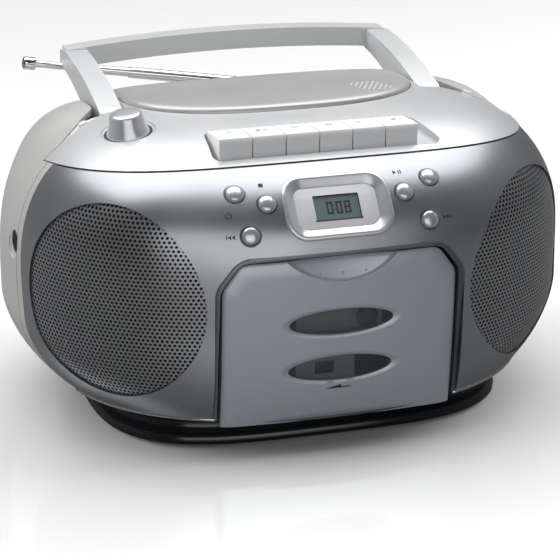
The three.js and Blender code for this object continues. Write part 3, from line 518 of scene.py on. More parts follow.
def front_place(x, z):
    """A point of the front surface and its normal, and the directions right and up in the surface."""
    point = surface(vec(x, -50, z), vec(0, -1, 0))[0]
    n = normal(point[None])[0]
    right = unit(np.cross(vec(0, 0, 1), n)) * -1
    right = right if right[0] > 0 else -right
    return point, n, right, np.cross(n, right)


def slider_place(side):
    point = top_point(side * 110, -4)
    n = normal(point[None])[0]
    turn = math.radians(33)
    along = vec(side * math.cos(turn), -math.sin(turn), 0)
    along = unit(along - (along @ n) * n)
    return point, n, along, np.cross(n, along)


KNOB_POINT = top_point(-91.7, -32)
KNOB_NORMAL = normal(KNOB_POINT[None])[0]
WELL_CORNERS = [(-57.6, -78.4), (64.5, -78.4), (68, -73.4), (59, -49.2), (-55.6, -49.2)]
WELL_RADII = [5, 3, 3, 6, 5]


def key_well(grow, low, high):
    middle = np.mean(WELL_CORNERS, axis=0)
    corners = [(x + math.copysign(grow, x - middle[0]), y + math.copysign(grow, y - middle[1])) for x,
               y in WELL_CORNERS]
    return prism("key_well", rounded(corners, WELL_RADII), "top", low, high)


def half_moon(side, grow, low, high):
    """The room of a shoulder slider: straight towards the front, round towards the back."""
    point, _, along, across = slider_place(side)
    up = normal(point[None])[0]
    bow = 6.5 + grow
    half = 15.5 + grow
    radius = (half * half + bow * bow) / (2 * bow)
    swing = math.degrees(math.asin(half / radius))
    arc = arc_points(0, -2.6 - grow + bow - radius, radius, 90 - swing, 90 + swing, 24)
    direction = across if across[1] > 0 else -across
    flat = np.array(arc)
    base = point + flat[:, :1] * along + flat[:, 1:] * direction
    return loft("moon", [base + low * up, base + high * up], smooth=False)


# ---------- cabinet ----------
def shell(name, inset=0.0):
    outer = envelope(name, inset, 240, 132)
    return less(outer, envelope("inner", WALL, 120, 66))


def front_cabinet():
    body = shell("front_shell")
    ahead = seam_plane(-SEAM_GAP / 2)
    above = slab("above", (-FAR, FAR), (-FAR, FAR), (21.2, FAR))
    both(body, ahead, above)
    tools = [top_seam_plane(-SEAM_GAP), prism("door", door_outline(4.4, 0), "front", -FAR, -94.6),
             key_well(0, 100, FAR)]
    for side in (-1, 1):
        tools.append(speaker_bore(side, SPEAKER["radius"]))
        tools.append(both(speaker_bore(side, SPEAKER["radius"] + 2.5), envelope("rabbet", 0.8, 120, 66)))
    for x, z in BUTTONS.values():
        point, n, _, _ = front_place(x, z)
        tools.append(lathe("dish", [(0, -6), (4.8, -6), (4.8, -1.3), (5.3, -1.0), (5.9, 0.06), (5.9, 6),
                                    (0, 6)], point, n, 40))
    point, n, right, up = front_place(0, 134.0)
    tools.append(prism_at("display", rectangle(25.5, 15.5, 6), point, right, up, -12, 12))
    less(body, *tools)
    envelope_shading(body)
    finish(body, "cabinet", "silver_shell", ["front_cabinet"])


def door_surround():
    """The dark frame between the front cabinet and the door, almost flush with the cabinet."""
    steps = [(4.5, 5.0), (4.5, 0.3), (4.2, -0.35), (3.1, -0.45), (2.9, 0.0), (2.0, 0.1), (1.6, 0.9),
             (1.5, 4.0)]
    outline = []
    for grow, back in steps:
        points = np.array(door_outline(grow, 21.4))
        skin = surface(np.stack([points[:, 0], np.full(len(points), -50.0), points[:, 1]], 1),
                       vec(0, -1, 0))
        outline.append(np.stack([points[:, 0], skin[:, 1] + back, points[:, 1]], 1))
    deep = outline[-1].copy()
    deep[:, 1] = -94.8
    outline.append(deep)
    strips = [np.roll(ring, -1, axis=0) for ring in outline]
    body = loft("door_surround", strips, (False, False), closed=False)
    finish(smooth_by_angle(body, 50), "cabinet", "silver_shell", skin=RIM_GREY)


def front_lip():
    """The rolled lip along the front cabinet's lower edge, on both sides of the door, in a lighter, glossier
    paint than the cabinet: a real lip with a painted highlight.
    """
    for side, word in ((-1, "left"), (1, "right")):
        turn = np.radians(np.linspace(0, 90, 400))
        flat = np.stack([side * np.sin(turn), -np.cos(turn), 0 * turn], 1)
        centre = vec(0, BODY["mid_y"], 22.3)
        path = surface(centre, flat, 0.3)
        keep = (np.abs(path[:, 0]) > DOOR["half"] + 2.4) & (path[:, 1] < -36.6 + 0.11 * (22.3 - 80) - 0.8)
        path = path[keep]
        outward = normal(path)
        outward[:, 2] = 0
        outward /= np.linalg.norm(outward, axis=1)[:, None]
        spin = np.radians(np.arange(0, 360, 30))
        rings = []
        for p, o in zip(path[::4], outward[::4]):
            rings.append(p + 1.1 * np.cos(spin)[:, None] * o + 1.1 * np.sin(spin)[:, None] * vec(0, 0, 1))
        # The lip takes the painted highlight paint.
        finish(loft(f"{word}_front_lip", rings), "cabinet", "silver_shell", skin=LIP_HIGHLIGHT)


def top_cabinet():
    body = shell("top_shell")
    block = both(key_well(1.8, 144, 200), envelope("under", 0.02, 120, 66))
    plus(body, block)
    pieces = [top_seam_plane(0), top_plan(0)]
    both(body, *pieces)
    well = key_well(0, 145.4, FAR)
    ramp = prism("ramp", [(-79, 140), (-48, 140), (-48, 157.5), (-73, 151.5), (-79, 151)], "side", 55.6, 75)
    less(well, ramp)
    arms = slab("arms", (-56, 55.4), (-60, -20), (140, 157.2))
    lid = prism("lid", oval(LID["half_x"] + 0.6, LID["half_y"] + 0.6, LID["power"], 160, 0, LID["y"]),
                "top", 60, FAR)
    recess = [(0, -12), (13, -12), (13, -1.6), (14.2, -1.5), (15.2, 0.1), (15.2, 8), (0, 8)]
    knob = lathe("knob_recess", recess, KNOB_POINT, KNOB_NORMAL, 96)
    tools = [well, arms, lid, knob]
    for side in (-1, 1):
        tools += [trough(side, 0), half_moon(side, 0, -7, 9)]
    less(body, *tools)
    keep_largest(body)
    finish(envelope_shading(body), "cabinet", "pearl_top", ["top_cabinet"])
    # The knob recess's floor is painted dark: painted shade round the knob's foot.
    floor = lathe("knob_floor", [(0, -2.6), (14.0, -2.6), (14.0, -1.9), (0, -1.9)], KNOB_POINT, KNOB_NORMAL,
                  64)
    finish(bevel(floor, 0.2), "cabinet", "pearl_top", skin=PAINTED_SHADE)


def keep_largest(obj):
    """Leaves only the biggest connected piece of a mesh."""
    bm = bmesh.new()
    bm.from_mesh(obj.data)
    seen, groups = set(), []
    for start in bm.verts:
        if start in seen:
            continue
        stack, group = [start], []
        seen.add(start)
        while stack:
            v = stack.pop()
            group.append(v)
            for e in v.link_edges:
                w = e.other_vert(v)
                if w not in seen:
                    seen.add(w)
                    stack.append(w)
        groups.append(group)
    groups.sort(key=len)
    bmesh.ops.delete(bm, geom=[v for g in groups[:-1] for v in g], context="VERTS")
    bm.to_mesh(obj.data)
    bm.free()


def trough(side, grow):
    x = (84.4 - grow, 98.7 + grow)
    x = x if side > 0 else (-x[1], -x[0])
    return slab("trough", x, (1.6 - grow, 66 + grow), (141.5 - grow, FAR))


def crest(p):
    """How far the rear cabinet's shoulders rise above the plain envelope."""
    across = np.clip(1 - ((np.abs(p[:, 0]) - 116) / 32) ** 2, 0, 1) ** 2
    ahead = np.clip((p[:, 1] + 2) / 26, 0, 1)
    behind = np.clip((112 - p[:, 1]) / 60, 0, 1)
    high = np.clip((p[:, 2] - 118) / 20, 0, 1)
    ease = lambda t: t * t * (3 - 2 * t)
    return 2.4 * across * ease(ahead) * ease(behind) * ease(high)


def rear_cabinet():
    outer = envelope("rear_shell", 0, 240, 132)
    co = np.zeros(len(outer.data.vertices) * 3)
    outer.data.vertices.foreach_get("co", co)
    p = co.reshape(-1, 3) / MM
    p = p + normal(p) * crest(p)[:, None]
    outer.data.vertices.foreach_set("co", (p * MM).ravel())
    body = less(outer, envelope("inner", WALL, 120, 66))
    body = less(body, seam_plane(SEAM_GAP / 2))
    above = slab("above", (-FAR, FAR), (-FAR, FAR), (FLOOR_Z, FAR))
    both(body, above)
    over = both(top_plan(SEAM_GAP * 0.7), top_seam_plane(-SEAM_GAP))
    bay = slab("bay", (-70.3, 70.3), (60, FAR), (33.7, 70.3))
    jack_y, jack_z = JACK_YZ
    side_x = surface(vec(-100, jack_y, jack_z), vec(-1, 0, 0))[0][0]
    jack = lathe("jack", [(0, -8), (6.2, -8), (6.2, -0.8), (9, 0.4), (9, 6), (0, 6)],
                 (side_x, jack_y, jack_z), vec(-1, 0, 0), 48)
    inlet = prism("inlet", rectangle(11, 7, 4.2, 8, 96, 46), "front", 40, FAR)
    tuner = lathe("tuner", [(0, -4), (25, -4), (25, 4), (0, 4)], TUNER, vec(0, 1, 0), 96)
    groove = less(both(seam_plane(7.1), envelope("band", -6, 60, 30)), seam_plane(6.3))
    groove = less(groove, envelope("g2", 0.55, 160, 88))
    tools = [over, bay, jack, inlet, tuner, groove]
    for side in (-1, 1):
        tools += [trough(side, 0), half_moon(side, 0, -7, 9)]
    for row in range(6):
        for column in range(-4, 5):
            x, z = column * 15.0, 84 + row * 6.0
            tools.append(prism("vent", rectangle(5.6, 1.1, 1.0, 5, x, z), "front", 60, FAR))
    for x, z in SCREWS:
        point = surface(vec(x, 40, z), vec(0, 1, 0))[0]
        tools.append(lathe("screw_hole", [(0, -1.6), (3.6, -1.6), (4.2, 0.2), (4.2, 8), (0, 8)], point,
                           normal(point[None])[0], 32))
    less(body, *tools)
    keep_largest(body)
    smooth_by_angle(body, 30)
    boss = lathe("boss", [(0, -32), (8.5, -32), (8.5, -21.4), (7.9, -20.8), (0, -20.8)], (92, 127.2, 127.9),
                 vec(0, 1, 0), 64)
    finish(smooth_by_angle(boss, 40), "cabinet", "rear_shell").name = "antenna_boss"
    finish(envelope_shading(body, degrees=30), "cabinet", "rear_shell", ["rear_cabinet"])
    # A dark sheet inside the cabinet behind the vents: painted shade seen through the slots.
    vent_shade = slab("vent_shade_sheet", (-72, 72), (95, 97), (78, 120))
    finish(vent_shade, "cabinet", "rear_shell", skin=PAINTED_SHADE)
    bay_box = bay_walls()
    finish(bay_box, "cabinet", "rear_shell")


def bay_walls():
    """The battery bay behind the battery door, with a rib between the rows of cells."""
    box = slab("battery_bay", (-72, 72), (62, 95), (32, 72))
    less(box, slab("room", (-70, 70), (64, 120), (34, 70)))
    rib = slab("rib", (-70.5, 70.5), (63.5, 74), (51.4, 52.6))
    return bevel(plus(box, rib), 0.4, 2)


def screws():
    """Cross-head screws in the back."""
    for index, (x, z) in enumerate(SCREWS):
        point = surface(vec(x, 40, z), vec(0, 1, 0))[0]
        n = normal(point[None])[0]
        head = lathe(f"screw_{index}", [(0, -4), (3.1, -4), (3.1, -1.5), (2.4, -0.8), (0, -0.6)], point, n,
                     32)
        u, v, _ = basis(n)
        slots = []
        for a, b in ((u, v), (v, -u)):
            slots.append(prism_at("slot", rectangle(1.9, 0.35), point, a, b, -1.6, 1))
        finish(smooth_by_angle(less(head, *slots), 40), "cabinet", "steel")


def plinth():
    """The black base: a bulging flange, a waist and a rim under the cabinet."""
    steps = [(2.0, 112.2), (2.3, 113.4), (3.4, 114.4), (5.6, 114.6), (7.4, 113.6), (8.6, 111.4),
             (9.2, 109.6),
             (12.0, 108.6), (15.0, 109.4), (16.6, 111.0)]
    rings = []
    for z, half in steps:
        flat = np.array(oval(half, half - 21, 3.4, 160, 0, BODY["mid_y"]))
        rings.append(np.column_stack([flat, np.full(len(flat), z)]))
    turn = np.arange(160) * 2 * math.pi / 160
    spokes = np.stack([np.cos(turn), np.sin(turn), 0 * turn], 1)
    for z, inset in ((18.0, 4.0), (19.2, 2.4)):
        rings.append(surface(vec(0, BODY["mid_y"], z), spokes, inset))
    rings[-1][:, 2] = 19.2
    body = loft("plinth", rings)
    finish(smooth_by_angle(body, 60), "cabinet", "black_base", ["base_plinth"])


def feet():
    for name in ("front_left_foot", "front_right_foot", "rear_left_foot", "rear_right_foot"):
        low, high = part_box(name)
        centre = (low + high) / 2 / MM
        foot = lathe(f"{name}_pad", [(0, 0), (7.2, 0), (8, 0.5), (8, 1.9), (0, 1.9)],
                     (centre.x, centre.y, 0), vec(0, 0, 1), 40)
        finish(smooth_by_angle(foot, 40), "cabinet", "rubber_foot", [name])


# ---------- speakers ----------
def grille(side, word):
    """Perforated sheet: a hexagonal cell round each hole, laid on the cabinet's surface."""
    base, out = speaker_axis(side)
    pitch, hole, inset, thick = 2.45, 0.76, 1.1, 0.6
    across = unit(np.cross(vec(0, 0, 1), out))
    lift = vec(0, 0, 1)
    row_step = pitch * math.sqrt(3) / 2
    reach = SPEAKER["radius"] + 0.6
    cells = []
    for row in range(-int(reach / row_step) - 1, int(reach / row_step) + 2):
        for column in range(-int(reach / pitch) - 2, int(reach / pitch) + 3):
            u, v = (column + (row % 2) / 2) * pitch, row * row_step
            if math.hypot(u, v) < reach:
                cells.append((u, v))
    turn = np.radians(np.arange(12) * 30.0 + 30)
    apothem = pitch / 2
    edge = np.where(np.arange(12) % 2 == 0, apothem / math.cos(math.radians(30)), apothem)
    rim = np.stack([edge * np.cos(turn), edge * np.sin(turn)], 1)
    inner = hole * np.stack([np.cos(turn), np.sin(turn)], 1)
    index, flat, faces = {}, [], []

    def vertex(p):
        key = (round(p[0] * 500), round(p[1] * 500))
        if key not in index:
            index[key] = len(flat)
            flat.append(p)
        return index[key]

    for cell in cells:
        outer = [vertex(tuple(p)) for p in rim + cell]
        start = len(flat)
        flat.extend(map(tuple, inner + cell))
        for k in range(12):
            m = (k + 1) % 12
            faces.append((outer[k], outer[m], start + m, start + k))
    flat = np.array(flat)
    origin = base + flat[:, :1] * across + flat[:, 1:] * lift
    skin = surface(origin + 12 * out, out, inset)
    obj = recalc(make(f"{word}_perforated_grille", skin, faces))
    mesh = obj.data
    if mesh.polygons[0].normal @ Vector(out) < 0:
        mesh.flip_normals()
    sheet = obj.modifiers.new("sheet", "SOLIDIFY")
    sheet.thickness, sheet.offset = thick * MM, -1
    finish(smooth_by_angle(bake(obj, []), 40), "cabinet", "speaker_mesh", [f"{word}_grille"])
    cloth = lathe(f"{word}_cloth", [(0, 0), (53, 0), (53, 0.5), (0, 0.5)], base + 34 * out, out, 64)
    finish(cloth, "cabinet", "cone_paper")


# ---------- display and buttons ----------
DISPLAY_POINT, DISPLAY_NORMAL, DISPLAY_RIGHT, DISPLAY_UP = front_place(0, 134.0)


def on_display(flat, rise):
    """Points of the display's own plane, laid on the cabinet and lifted by rise."""
    flat = np.asarray(flat, float)
    start = DISPLAY_POINT - 40 * DISPLAY_NORMAL + flat[:, :1] * DISPLAY_RIGHT + flat[:, 1:] * DISPLAY_UP
    skin = surface(start, DISPLAY_NORMAL)
    return skin + normal(skin) * rise


def display():
    profile = [(28.9, 17.9, 11.4, -0.6), (28.9, 17.9, 11.4, 0.5), (28.5, 17.5, 11.0, 1.0),
               (27.9, 16.9, 10.4, 1.25),
               (27.0, 16.0, 9.6, 1.25), (26.4, 15.4, 9.2, 1.0), (23.4, 13.0, 6.8, -1.3), (22.2, 12.2, 5.8,
                   -1.9),
               (22.0, 12.0, 5.6, -2.2), (22.0, 12.0, 5.6, -4.0)]
    rings = [on_display(rectangle(hx, hv, r, 12), h) for hx, hv, r, h in profile]
    finish(smooth_by_angle(loft("bezel_ring", rings, (False, False)), 50), "cabinet", "bezel_silver",
           ["display_bezel"])
    plate_rings = [on_display(np.array(rectangle(21.9, 11.9, 5.5, 12)) * s, -2.2) for s in np.linspace(1,
        0.02, 14)]
    under = [on_display(np.array(rectangle(21.9, 11.9, 5.5, 12)) * s, -3.4) for s in np.linspace(0.02, 1,
        14)]
    plate = loft("display_plate_skin", plate_rings + under + plate_rings[:1], (False, False))
    lcd = (0.2, -0.3, 12.3, 6.9)
    hole = prism_at("hole", rectangle(lcd[2], lcd[3], 0.5, 4, lcd[0], lcd[1]), DISPLAY_POINT, DISPLAY_RIGHT,
                    DISPLAY_UP, -12, 12)
    less(plate, hole)
    finish(smooth_by_angle(plate, 40), "cabinet", "display_plate", ["display_window"])
    depth = -3.6
    glass = prism_at("lcd_panel", rectangle(lcd[2] + 0.6, lcd[3] + 0.6, 0.3, 3, lcd[0], lcd[1]),
                     DISPLAY_POINT, DISPLAY_RIGHT,
                     DISPLAY_UP, depth - 1, depth)
    finish(glass, "cabinet", "lcd_glass", ["display_module"])
    frame_outer = rectangle(lcd[2] + 0.5, lcd[3] + 0.5, 0.4, 4, lcd[0], lcd[1])
    frame_inner = rectangle(lcd[2] - 0.15, lcd[3] - 0.15, 0.3, 4, lcd[0], lcd[1])
    # A dark frame round the LCD in its recess: painted shade at the recess's edges.
    shade = prism_at("lcd_frame", frame_outer, DISPLAY_POINT, DISPLAY_RIGHT, DISPLAY_UP, depth - 0.5,
                     depth + 0.9)
    less(shade, prism_at("h", frame_inner, DISPLAY_POINT, DISPLAY_RIGHT, DISPLAY_UP, -12, 12))
    finish(shade, "cabinet", "lcd_glass", skin=PAINTED_SHADE)
    digits("time_digits", "0:08", depth + 0.05)


SEGMENTS = {"0": "abcdef", "8": "abcdefg"}


def digits(name, word, rise):
    """Seven-segment numbers on the display."""
    wide, tall, bar, pitch = 3.3, 6.9, 0.95, 4.5
    verts, faces = [], []

    def patch(x0, x1, y0, y1):
        at = len(verts)
        for x, y in ((x0, y0), (x1, y0), (x1, y1), (x0, y1)):
            verts.append(DISPLAY_POINT + x * DISPLAY_RIGHT + y * DISPLAY_UP + rise * DISPLAY_NORMAL)
        faces.append((at, at + 1, at + 2, at + 3))

    x, y, gap = -5.2, -3.8, 0.1
    half = tall / 2
    for symbol in word:
        if symbol == ":":
            for dy in (tall * 0.3, tall * 0.66):
                patch(x - 0.75, x - 0.15, y + dy, y + dy + bar)
            x += 0.5
            continue
        spans = {"a": (gap, wide - gap, tall - bar, tall), "d": (gap, wide - gap, 0, bar),
                 "g": (gap, wide - gap, half - bar / 2, half + bar / 2), "f": (0, bar, half + gap,
                     tall - gap),
                 "e": (0, bar, gap, half - gap), "b": (wide - bar, wide, half + gap, tall - gap),
                 "c": (wide - bar, wide, gap, half - gap)}
        for segment in SEGMENTS[symbol]:
            x0, x1, y0, y1 = spans[segment]
            patch(x + x0, x + x1, y + y0, y + y1)
        x += pitch
    finish(make(name, verts, faces, False), "cabinet", "lcd_glass", skin=INK)


def buttons():
    profile = [(0, -5), (4.5, -5), (4.55, -4.6), (4.55, 0.3), (4.4, 0.8), (4.05, 1.2), (3.5, 1.55),
               (2.6, 1.85), (1.4, 2.02), (0, 2.08)]
    for name, (x, z) in BUTTONS.items():
        point, n, _, _ = front_place(x, z)
        cap = lathe(f"{name}_cap", profile, point, n, 48)
        finish(smooth_by_angle(cap, 50), name, "button_silver", [name])


def triangle(x, y, size, way=1):
    return [(x, y + size), (x + way * size * 1.5, y), (x, y - size)][::way]


def bar_mark(x, y, wide, tall):
    return rectangle(wide / 2, tall / 2, 0, 1, x, y)


def ring_mark(radius, width, start, end, steps=20):
    outer = arc_points(0, 0, radius, start, end, steps)
    return outer + arc_points(0, 0, radius - width, end, start, steps)


def decal(name, shapes, place, body, slot, skin, rise=0.16):
    """Flat printed shapes laid just above a surface point."""
    point, n, right, up = place
    verts, faces = [], []
    for shape in shapes:
        at = len(verts)
        flat = np.array(shape)
        start = point - 20 * n + flat[:, :1] * right + flat[:, 1:] * up
        skin_points = surface(start, n)
        verts.extend(skin_points + rise * n)
        faces.append(tuple(range(at, at + len(shape))))
    finish(recalc(make(name, verts, faces, False)), body, slot, skin=skin)


def front_marks():
    """Transport symbols beside the round buttons, without words."""
    marks = {
        "standby_mark": (-58.0, 132.6, [ring_mark(1.7, 0.4, 120, 420), bar_mark(0, 1.4, 0.4, 1.9)]),
        "stop_mark": (-38.0, 143.9, [rectangle(1.15, 1.15)]),
        "back_mark": (-59.6, 122.9, [triangle(1.4, 0, 1.15, -1), triangle(3.4, 0, 1.15, -1),
                                     bar_mark(-0.9, 0, 0.5, 2.3)]),
        "play_mark": (35.6, 144.4, [triangle(-2.0, 0, 1.15), bar_mark(1.1, 0, 0.5, 2.3),
                                    bar_mark(2.2, 0, 0.5, 2.3)]),
        "next_mark": (59.0, 123.4, [triangle(-3.2, 0, 1.15), triangle(-1.2, 0, 1.15),
                                    bar_mark(1.1, 0, 0.5, 2.3)]),
    }
    for name, (x, z, shapes) in marks.items():
        decal(name, shapes, front_place(x, z), "cabinet", "silver_shell", INK)


# ---------- keys ----------
def keys():
    low_axle = (-38, 149)
    for index, name in enumerate(KEYS):
        box_low, box_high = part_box(name)
        x0, x1 = box_low.x / MM, box_high.x / MM
        front, back = -76.7, -50.0
        profile = [(front + 0.5, 150.4), (front + 22, 150.4), (-46, 145), (-38, 145), (-34.4, 149),
                   (-38, 152.8), (-48, 152.8),
                   (back, 156), (back, 160.6)]
        crown = [(back - 0.8 + t * (front + 1.6 - back),
                  161.5 + 2.4 * t + 0.5 * math.sin(math.pi * t)) for t in np.linspace(0, 1, 9)]
        face = [(front + 0.35 * math.sin(math.pi * t), 162.7 - 12.0 * t) for t in np.linspace(0, 1, 7)]
        key = prism(f"{name}_cap", rounded(profile, 0, 1) + crown + face, "side", x0, x1)
        bore = lathe("bore", [(0, -70), (1.85, -70), (1.85, 70), (0, 70)], (0, *low_axle), vec(1, 0, 0), 24)
        less(key, bore)
        finish(bevel(key, 0.55, 3, 40), name, "key_plastic", [name])
        key_mark(name, (x0 + x1) / 2)


def key_mark(name, x):
    """A faint transport symbol pressed into the key's top."""
    shapes = {"pause_key": [bar_mark(-0.8, 0, 0.6, 2.6), bar_mark(0.8, 0, 0.6, 2.6)],
              "stop_eject_key": [rectangle(1.0, 1.0, 0, 1, -2.2, 0), triangle(1.2, 0, 1.2)],
              "forward_key": [triangle(-1.8, 0, 1.2), triangle(0.2, 0, 1.2)],
              "rewind_key": [triangle(1.8, 0, 1.2, -1), triangle(-0.2, 0, 1.2, -1)],
              "play_key": [triangle(-0.8, 0, 1.3, -1)],
              "record_key": [arc_points(0, 0, 1.2, 0, 345, 24)]}[name]
    up = unit(vec(0, 1, -0.09))
    verts, faces = [], []
    for shape in shapes:
        at = len(verts)
        for a, b in shape:
            verts.append(vec(x, -62.5, 163.43) + a * vec(1, 0, 0) + b * up)
        faces.append(tuple(range(at, at + len(shape))))
    finish(recalc(make(f"{name}_mark", verts, faces, False)), name, "key_plastic", skin=FAINT)


# ---------- cassette door ----------
DOOR_TOP_ARC = dict(z=139, radius=43)
WINDOWS = {"upper_window": 73, "lower_window": 46.8}
WINDOW_HALF = (28.3, 7.0)


def edge_distance(x, z, outline):
    """Distance from points to a closed outline."""
    pts = np.array(outline)
    nxt = np.roll(pts, -1, axis=0)
    best = np.full(len(x), 1e9)
    for a, b in zip(pts, nxt):
        d = b - a
        t = np.clip(((x - a[0]) * d[0] + (z - a[1]) * d[1]) / (d @ d), 0, 1)
        best = np.minimum(best, np.hypot(x - a[0] - t * d[0], z - a[1] - t * d[1]))
    return best


def door_bow(x, z):
    return -(117.4 - 5.9 * ((100 - np.minimum(z, 100)) / 82) ** 2) + 2.8 * (x / 63) ** 2


def door_face(x, z):
    """The door's front surface: bowed, rolled off at its rim, dished for a thumb at the top."""
    y = door_bow(x, z)
    rim = edge_distance(x, z, door_outline(0, 0))
    y = y + 1.5 * np.clip(1 - rim / 8.5, 0, 1) ** 2 + 0.35 * np.clip(1 - rim / 0.9, 0, 1)
    dish = np.clip(DOOR_TOP_ARC["radius"] - np.hypot(x, z - DOOR_TOP_ARC["z"]), 0, 12)
    y = y + 0.22 * dish + 0.5 * np.clip(dish / 0.8, 0, 1)
    for middle in WINDOWS.values():
        r = np.hypot(x / WINDOW_HALF[0], (z - middle) / WINDOW_HALF[1])
        y = y + 0.8 * np.clip(1 - (r - 1) / 0.13, 0, 1) * (r > 0.97)
    return y


def cassette_door():
    nx, nz = 160, 110
    xs = np.linspace(-66, 66, nx)
    zs = np.linspace(15, 112, nz)
    grid_x, grid_z = np.meshgrid(xs, zs)
    layer = np.stack([grid_x.ravel(), np.zeros(nx * nz), grid_z.ravel()], 1)
    verts = np.concatenate([layer, layer + vec(0, 2.4, 0)])
    faces = []
    count = nx * nz
    for j in range(nz - 1):
        for i in range(nx - 1):
            a = j * nx + i
            faces.append((a, a + 1, a + nx + 1, a + nx))
            faces.append((count + a, count + a + nx, count + a + nx + 1, count + a + 1))
    border = list(range(nx)) + [nx - 1 + j * nx for j in range(1, nz)]
    border += [(nz - 1) * nx + i for i in range(nx - 2, -1, -1)] + [j * nx for j in range(nz - 2, 0, -1)]
    for a, b in zip(border, border[1:] + border[:1]):
        faces.append((a, count + a, count + b, b))
    skin = recalc(make("door_skin", verts, faces))
    both(skin, prism("o", door_outline(0), "front", -5, 5))
    tools = [prism("w", oval(*WINDOW_HALF, 2.0, 96, 0, z), "front", -5, 8) for z in WINDOWS.values()]
    arc = DOOR_TOP_ARC
    wide = arc_points(0, arc["z"], arc["radius"] + 0.35, 200, 340, 80)
    tools.append(prism("groove", wide + arc_points(0, arc["z"], arc["radius"] - 0.1, 340, 200, 80), "front",
                       -2, 0.7))
    less(skin, *tools)
    mesh = skin.data
    co = np.zeros(len(mesh.vertices) * 3)
    mesh.vertices.foreach_get("co", co)
    p = co.reshape(-1, 3) / MM
    p[:, 1] += door_face(p[:, 0], p[:, 2])
    mesh.vertices.foreach_set("co", (p * MM).ravel())
    mesh.update()
    finish(smooth_by_angle(skin, 38), "door", "door_silver", ["cassette_door"])
    rim = prism("door_rim", door_outline(-0.1), "front", -105, DOOR["back"])
    inner = prism("i", door_outline(-2, DOOR["bottom"] + 1.6, 7), "front", -FAR, FAR)
    wall = less(rim, inner)
    finish(bevel(wall, 0.3, 2), "door", "door_silver")
    side_walls()
    for name, z in WINDOWS.items():
        pane(name, z)
    for index, x in enumerate((-12.6, 0.0, 12.6)):
        z = 99.7 + 0.002 * x * x
        y = door_face(np.array([x]), np.array([z]))[0]
        dot = lathe(f"grip_dot_{index}", [(0, -1), (0.8, -1), (0.75, 0.1), (0.4, 0.35), (0, 0.42)],
                    (x, y, z), vec(0, -1, 0), 24)
        finish(smooth_by_angle(dot, 50), "door", "door_silver")
    arrow = [(-7.5, 0), (0.6, 1.5), (0.6, 0.35), (5.5, 0.35), (5.5, -0.35), (-7.5, -0.35)]
    at = np.array([(x, 35.6 + z) for x, z in arrow])
    front = door_face(at[:, 0], at[:, 1]) - 0.08
    verts = np.stack([at[:, 0], front, at[:, 1]], 1)
    finish(recalc(make("tape_direction_mark", verts, [tuple(range(len(arrow)))], False)), "door",
           "door_silver", skin=INK)
    leaf()


def side_walls():
    """The door's edge, from its crowned face back to the straight rim."""
    outline = np.array(door_outline(-0.05))
    face = door_face(outline[:, 0], outline[:, 1])
    front = np.stack([outline[:, 0], face + 0.6, outline[:, 1]], 1)
    back = front.copy()
    back[:, 1] = -104.5
    inner = np.array(door_outline(-1.6, DOOR["bottom"] + 1.4, 7.4))
    inner_front = np.stack([inner[:, 0], face + 1.6, inner[:, 1]], 1)
    inner_back = inner_front.copy()
    inner_back[:, 1] = -104.5
    wall = loft("door_edge", [front, back, inner_back, inner_front, front], (False, False))
    finish(smooth_by_angle(wall, 50), "door", "door_silver")


def pane(name, middle):
    """A clear oval pane, set into its opening and slightly domed."""
    rings = []
    for share in np.linspace(0.995, 0.02, 10):
        flat = np.array(oval(WINDOW_HALF[0] * share, WINDOW_HALF[1] * share, 2.0, 72, 0, middle))
        y = door_bow(flat[:, 0], flat[:, 1]) + 0.9 - 0.5 * (1 - share ** 2)
        rings.append(np.stack([flat[:, 0], y, flat[:, 1]], 1))
    back = [ring + vec(0, 1.2, 0) for ring in reversed(rings)]
    glass = loft(f"{name}_pane", rings + back)
    finish(smooth_by_angle(glass, 50), "door", "smoked_window", [name])


def leaf():
    """What shows through the windows: the holder's pressure plate with its openings."""
    plate = slab("holder_leaf", (-23, 24), (-110.4, -109.6), (36, 84))
    tools = [prism("hub", arc_points(15.5, 72.5, 6.2, 0, 350, 48), "front", -120, -95),
             prism("slot", rectangle(5.2, 3.4, 0.6, 4, -7.5, 46.2), "front", -120, -95),
             prism("gap", rectangle(9.0, 8.2, 3.0, 6, 18, 47), "front", -120, -95)]
    less(plate, *tools)
    rib = prism("rib", rectangle(10.5, 3.4, 0.8, 4, -8.5, 72.6), "front", -111.1, -110)
    less(rib, prism("r", rectangle(9.6, 2.6, 0.6, 4, -8.5, 72.6), "front", -120, -110.5))
    plus(plate, rib)
    finish(bevel(plate, 0.15, 2), "door", "dark_plastic", skin=LEAF)


